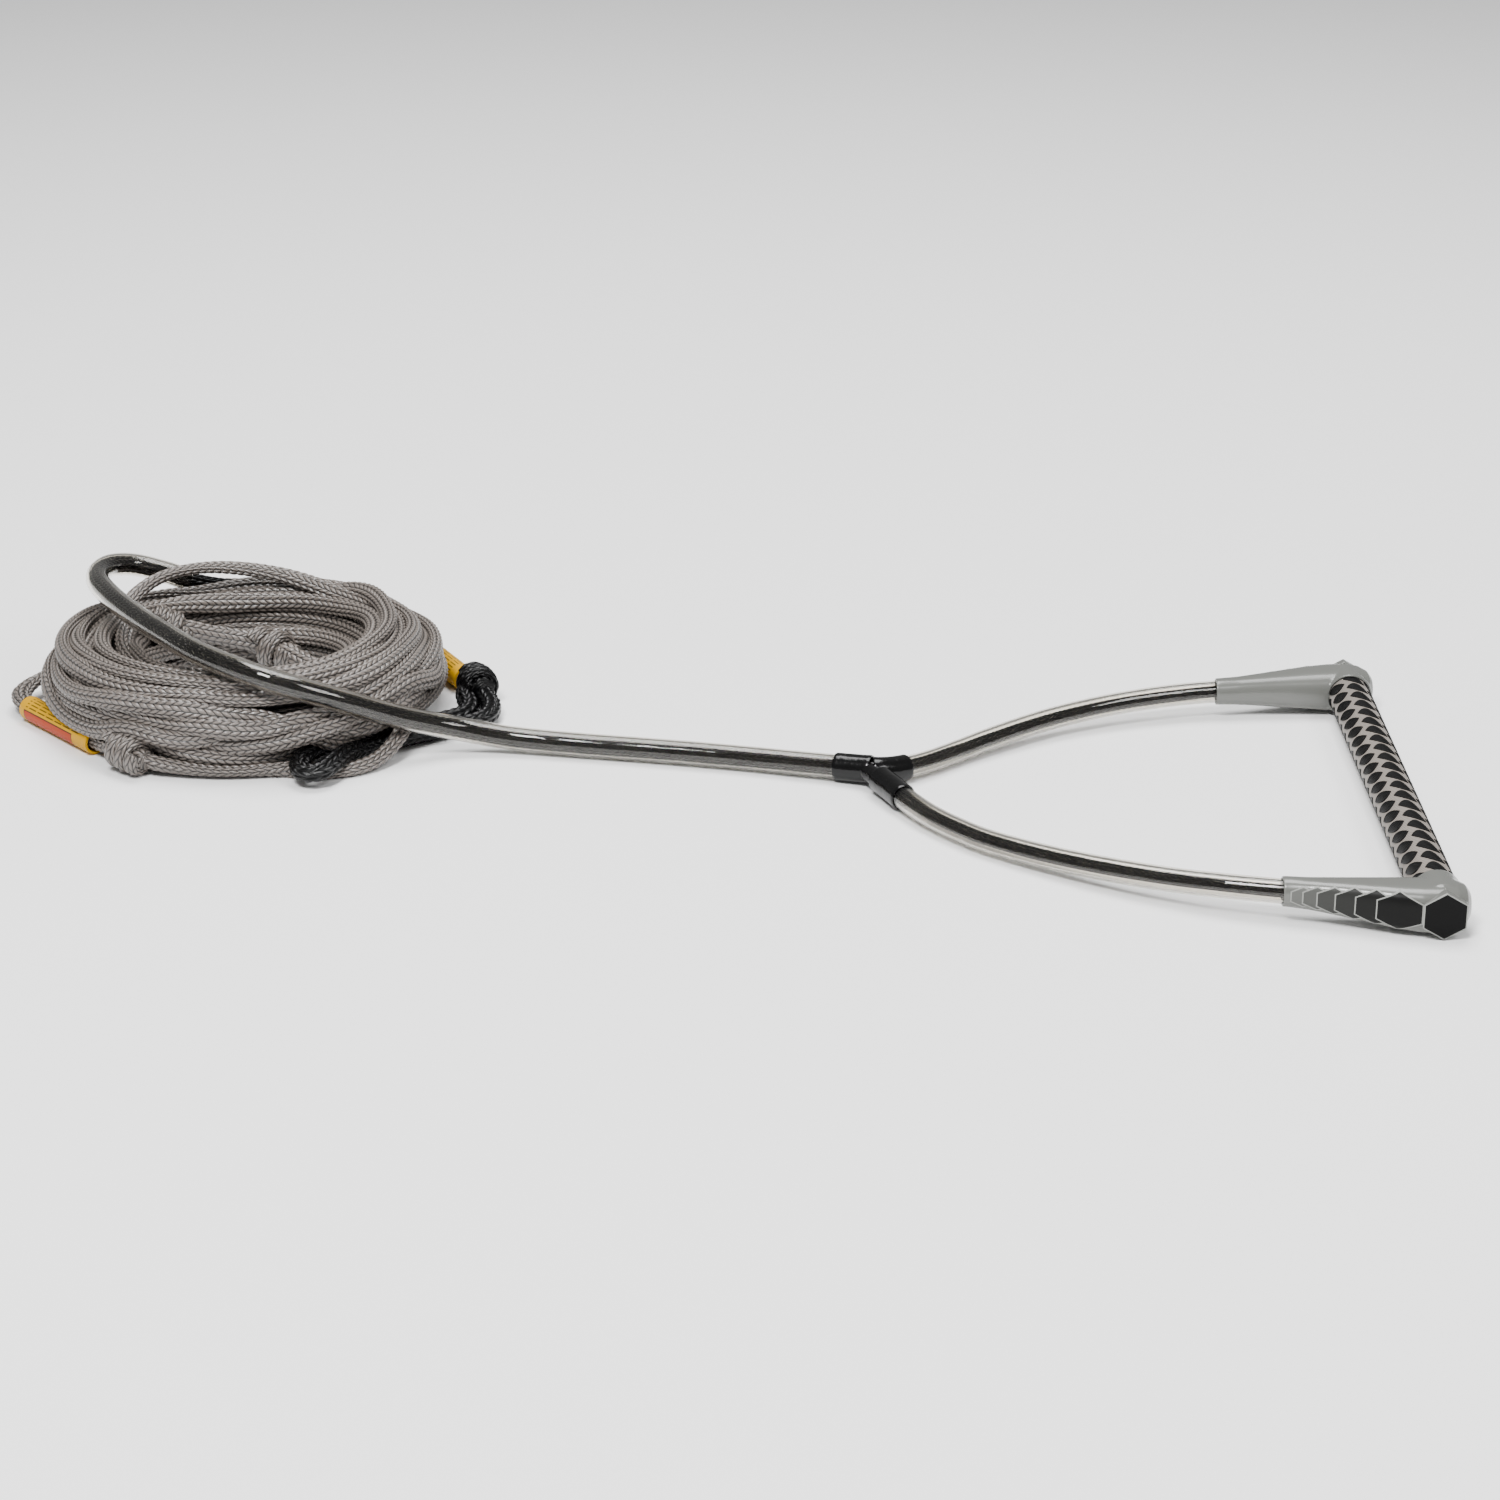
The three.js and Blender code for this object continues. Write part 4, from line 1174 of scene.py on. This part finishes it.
class TOW_OT_main_line(bpy.types.Operator):
    """Lays the coiled main line, in sections, with its knots"""
    bl_idname = "tow.main_line"
    bl_label = "Main Line"

    def execute(self, context):
        settings = line_settings()
        wide, thick, pick = settings.wide / MM, settings.thick / MM, settings.pick / MM
        grey, grey_gap_shade = list(settings.grey), list(settings.grey_gap_shade)
        braid = braid_material("hollow_braid_polyethylene", grey, grey_gap_shade, pick, LINE_COLUMNS, 0.32, 0.8)
        line = spaced(lay_the_line(), 3.0)
        normal = bundle_normals(line)
        # Away from the bundle the braid lies with its wide side down.
        from_bundle = np.abs(np.linalg.norm(line[:, :2] - COIL_CENTRE, axis=1) - COIL_RADIUS)
        away = np.clip((from_bundle - BUNDLE_WIDE) / 12, 0, 1)
        normal = unit(normal * (1 - away)[:, None] + np.array([0, 0, 1.0]) * away[:, None])
        normal = unit(averaged(normal, 15))
        tie = braid_material("knotted_braid_polyethylene", grey, grey_gap_shade, pick, LINE_COLUMNS, 0.34, 0.8)
        knots = {}
        for name, wraps in (("coupling_knot", 3), ("front_knot", 3), ("inner_knot", 2), ("left_knot", 2)):
            knots[name] = knot(name, wide * 0.92, thick, pick, wraps)
            knots[name].name = name + "_wraps"
            dress(knots[name], tie)
            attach(knots[name], "line")
            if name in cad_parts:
                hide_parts(name)
        doubled = smooth_curve(INNER_BRAID, 2.0)
        piece = rope_piece(
            "inner_doubled_braid", doubled, carried_normals(doubled, (0, 0, 1)), wide * 1.15, thick * 1.6,
            pick * 1.15, columns=LINE_COLUMNS, sides=30, relief=0.6)
        dress(piece, tie)
        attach(piece, "line")
        nodes = ["mainline_coil", "front_line", "front_loop", "cross_line", "rear_line", "coupling_line"]
        sections = 7
        edges = np.linspace(0, len(line) - 1, sections + 1).astype(int)
        for k in range(sections):
            part = slice(edges[k], edges[k + 1] + 1)
            piece = rope_piece(f"line_section_{k + 1}", line[part], normal[part], wide, thick, pick,
                               columns=LINE_COLUMNS, sides=30, relief=0.55, loose=0.1)
            dress(piece, braid)
            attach(piece, "line")
            if k < len(nodes):
                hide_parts(nodes[k])
        return {"FINISHED"}


class TOW_OT_boat_loop(bpy.types.Operator):
    """Makes the black loop for the boat's tow hitch and its collar"""
    bl_idname = "tow.boat_loop"
    bl_label = "Boat Loop"

    def execute(self, context):
        settings = line_settings()
        wide, thick = settings.black_wide / MM, settings.black_thick / MM
        # Painted shade: #010101 is the colour of the gaps between the yarns.
        black = braid_material(
            "black_braid_polyester", list(settings.black), linear("#010101"), LOOP_PICK, 8, 0.3, 0.3)
        line = smooth_curve(BOAT_LOOP, 2.0)
        piece = rope_piece("boat_loop_rope", line, carried_normals(line, (0, 0, 1)), wide, thick, LOOP_PICK,
                           columns=8, sides=32, relief=0.6)
        dress(piece, black)
        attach(piece, "line")
        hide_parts("boat_loop")
        collar = knot("boat_loop_knot", 10.0, 6.5, LOOP_PICK, 3, 8)
        collar.name = "boat_loop_collar"
        dress(collar, black)
        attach(collar, "line")
        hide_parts("boat_loop_knot")
        return {"FINISHED"}


class TOW_OT_main_hose(bpy.types.Operator):
    """Makes the clear main hose, the black rope in it and the shrink sleeve at the Y"""
    bl_idname = "tow.main_hose"
    bl_label = "Main Hose"

    def execute(self, context):
        line = smooth_curve(MAIN_HOSE, 2.5)
        hose = hose_piece("main_hose", line, *MAIN_HOSE_RADII, 40, 2.5)
        dress(hose, clear_pvc())
        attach(hose, "line")
        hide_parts("main_tube")
        rope_line = smooth_curve([(-146, 38.5, 10.2)] + MAIN_HOSE + MAIN_ROPE_TAIL, 2.0)
        rope_line = hugging(rope_line, line, 0.2)
        wide, _, pick = MAIN_ROPE
        # Painted shade: #020202 is the colour of the gaps between the yarns.
        black = braid_material(
            "black_braid_in_main_hose", list(line_settings().black), linear("#020202"), pick, 12, 0.3, 0.15)
        rope = rope_piece("main_hose_rope", rope_line, carried_normals(rope_line, (0, 0, 1)), *MAIN_ROPE,
                          columns=12, sides=36, relief=0.3)
        dress(rope, black)
        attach(rope, "line")
        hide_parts("main_rope")
        sleeve_line = smooth_curve([(-146, 38.5, 10.3)] + MAIN_HOSE[:3], 2.0)
        end = int(np.argmin(np.abs(run_length(sleeve_line) - 25)))
        sleeve = hose_piece(
            "main_shrink_sleeve", sleeve_line[: end + 1], *MAIN_SLEEVE_RADII, 40, 1.0, flare=0.5)
        dress(sleeve, shrink_tube())
        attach(sleeve, "line")
        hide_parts("main_sleeve")
        return {"FINISHED"}


class TOW_OT_bridle(bpy.types.Operator):
    """Makes the two leg hoses, the rope through them and the bar, and the sleeves at the Y"""
    bl_idname = "tow.bridle"
    bl_label = "Bridle"

    def execute(self, context):
        settings = line_settings()
        # Painted shade: #020202 is the colour of the gaps between the yarns.
        black = braid_material(
            "black_braid_in_legs", list(settings.black), linear("#020202"), BRIDLE_ROPE[2], 12, 0.3, 0.15)
        pvc, shrink = clear_pvc(), shrink_tube()
        for name, crotch_end, leg in (("near", NEAR_LEG[0], NEAR_LEG[1:]), ("far", FAR_LEG[0], FAR_LEG[1:])):
            line = smooth_curve(leg, 2.5)
            hose = hose_piece(f"leg_hose_{name}", line, *LEG_HOSE_RADII, 40, 2.5)
            dress(hose, pvc)
            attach(hose, "handle")
            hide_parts(f"leg_tube_{name}")
            sleeve_line = smooth_curve([crotch_end] + leg, 1.0)
            end = int(np.argmin(np.linalg.norm(sleeve_line - np.array(leg[2]), axis=1)))
            sleeve = hose_piece(
                f"leg_shrink_sleeve_{name}", sleeve_line[: end + 1], *LEG_SLEEVE_RADII, 40, 1.0, flare=0.5)
            dress(sleeve, shrink)
            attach(sleeve, "handle")
            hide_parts(f"leg_sleeve_{name}")
        bar = [(BAR_X, y, BAR_Z) for y in (-150, -100, -50, 0, 50, 100, 150)]
        route = NEAR_LEG + CAP_TURN + bar + mirrored(CAP_TURN)[::-1] + FAR_LEG[::-1]
        line = smooth_curve(route, 2.0)
        for leg in (smooth_curve(NEAR_LEG[1:-1], 2.0), smooth_curve(FAR_LEG[1:-1], 2.0)[::-1]):
            line = hugging(line, leg, 1.2)
        rope = rope_piece(
            "bridle_rope_braid", line, carried_normals(line, (0, 0, 1)), *BRIDLE_ROPE, relief=0.2)
        dress(rope, black)
        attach(rope, "handle")
        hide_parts("bridle_rope")
        # The crotch: two short ropes from inside the main sleeve into the leg sleeves, across the fold.
        for name, towards in (("near", NEAR_LEG[1:3]), ("far", FAR_LEG[1:3])):
            line = smooth_curve([(-160, 43, 9.2), (-151, 38.5, 9.8)] + towards, 1.5)
            crotch = rope_piece(
                f"crotch_rope_{name}", line, carried_normals(line, (0, 0, 1)), *CROTCH_ROPE, relief=0.0)
            dress(crotch, shrink)
            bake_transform(crotch)
        return {"FINISHED"}


class TOW_OT_warning_sleeves(bpy.types.Operator):
    """Makes the two yellow warning sleeves on the line"""
    bl_idname = "tow.warning_sleeves"
    bl_label = "Warning Sleeves"

    def execute(self, context):
        for name, ends, panel in (("front", FRONT_LABEL, True), ("rear", REAR_LABEL, False)):
            line = np.linspace(ends[0], ends[1], 60)
            sleeve = hose_piece(f"warning_label_{name}", line, *LABEL_RADII, 64, 1.4, flare=0.2)
            dress(sleeve, printed_vinyl(f"printed_vinyl_{name}", panel))
            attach(sleeve, f"{name}_sleeve")
            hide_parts(f"warning_sleeve_{name}")
        return {"FINISHED"}


class TOW_OT_end_caps(bpy.types.Operator):
    """Makes the two moulded end caps with their printed hexagons"""
    bl_idname = "tow.end_caps"
    bl_label = "End Caps"

    def execute(self, context):
        urethane, printed = moulded_urethane(), cap_print()
        for name, side, leg in (("near", -1, NEAR_LEG), ("far", 1, FAR_LEG)):
            cap = end_cap(f"moulded_cap_{name}", side, leg)
            dress(cap, urethane)
            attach(cap, "handle")
            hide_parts(f"end_cap_{name}")
            tiles = hexagon_tiles(f"cap_hexagons_{name}", side, cap)
            dress(tiles, printed)
            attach(tiles, "handle")
        return {"FINISHED"}


class TOW_OT_grip(bpy.types.Operator):
    """Makes the grip's net and its raised pads"""
    bl_idname = "tow.grip"
    bl_label = "Grip"

    def execute(self, context):
        net = grip_net()
        dress(net, rubber_net())
        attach(net, "handle")
        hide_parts("grip")
        pads = wrapped_pads(leaf_pad())
        dress(pads, rubber_pads())
        pads.data.materials.append(net.data.materials[0])
        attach(pads, "handle")
        dress_node("handle_core_tube", satin_aluminium())
        dress_node("core_float", eva_foam())
        return {"FINISHED"}


class TOW_OT_stage(bpy.types.Operator):
    """Makes the floor, the soft lights and the camera"""
    bl_idname = "tow.stage"
    bl_label = "Stage"

    def execute(self, context):
        scene = context.scene
        camera = bpy.data.objects.new("camera", bpy.data.cameras.new("camera"))
        scene.collection.objects.link(camera)
        camera.location = (-0.20785, -1.92155, 0.79087)
        camera.rotation_euler = (math.radians(90 - 21.40), 0, math.radians(0.59))
        camera.data.sensor_width, camera.data.lens = 36.0, 81.93
        camera.data.clip_start, camera.data.clip_end = 0.05, 50
        scene.camera = camera
        deselect_all()
        bpy.ops.mesh.primitive_plane_add(size=30, location=(0, 0, 0))
        floor = context.object
        floor.name = "studio_floor"
        settle(floor)
        dress(floor, material("pale_paper", Base_Color=linear("#fbfbfb"), Roughness=0.9)[0])
        # Large soft boxes high in front and behind; the room round them is dim, so blacks stay black.
        for name, place, size, power in (
            ("key", (-0.9, -1.6, 2.6), 0.8, 118), ("fill", (1.5, -1.4, 2.2), 1.0, 38),
            ("top", (-0.2, 0.9, 3.0), 1.8, 122),
        ):
            light = bpy.data.objects.new(name, bpy.data.lights.new(name, "AREA"))
            light.data.shape, light.data.size, light.data.energy = "SQUARE", size, power
            light.location = place
            towards = Vector((-0.25, 0.05, 0)) - Vector(place)
            light.rotation_euler = towards.to_track_quat("-Z", "Y").to_euler()
            scene.collection.objects.link(light)
        world = bpy.data.worlds.new("studio")
        scene.world = world
        world.use_nodes = True
        background = world.node_tree.nodes["Background"]
        background.inputs["Color"].default_value = linear("#ffffff")
        background.inputs["Strength"].default_value = 0.31
        return {"FINISHED"}


OPERATORS = (
    TOW_OT_stage, TOW_OT_main_line, TOW_OT_boat_loop, TOW_OT_main_hose, TOW_OT_bridle, TOW_OT_warning_sleeves,
    TOW_OT_end_caps, TOW_OT_grip,
)


class TOW_PT_panel(bpy.types.Panel):
    """Lists the pieces and their sizes"""
    bl_idname = "TOW_PT_panel"
    bl_label = "Tow Rope Handle"
    bl_space_type = "VIEW_3D"
    bl_region_type = "UI"
    bl_category = "Tow Rope"

    def draw(self, context):
        for settings in (context.scene.tow_line, context.scene.tow_handle):
            for name in settings.__annotations__:
                self.layout.prop(settings, name)
        for operator in OPERATORS:
            self.layout.operator(operator.bl_idname)


CLASSES = (LineSettings, HandleSettings) + OPERATORS + (TOW_PT_panel,)


def register():
    for made in CLASSES:
        bpy.utils.register_class(made)
    bpy.types.Scene.tow_line = bpy.props.PointerProperty(type=LineSettings)
    bpy.types.Scene.tow_handle = bpy.props.PointerProperty(type=HandleSettings)


def unregister():
    del bpy.types.Scene.tow_handle
    del bpy.types.Scene.tow_line
    for made in reversed(CLASSES):
        bpy.utils.unregister_class(made)


def main():
    register()
    for operator in OPERATORS:
        name = operator.bl_idname.split(".")[1]
        getattr(bpy.ops.tow, name)()
    deselect_all()


if __name__ == "__main__":
    main()
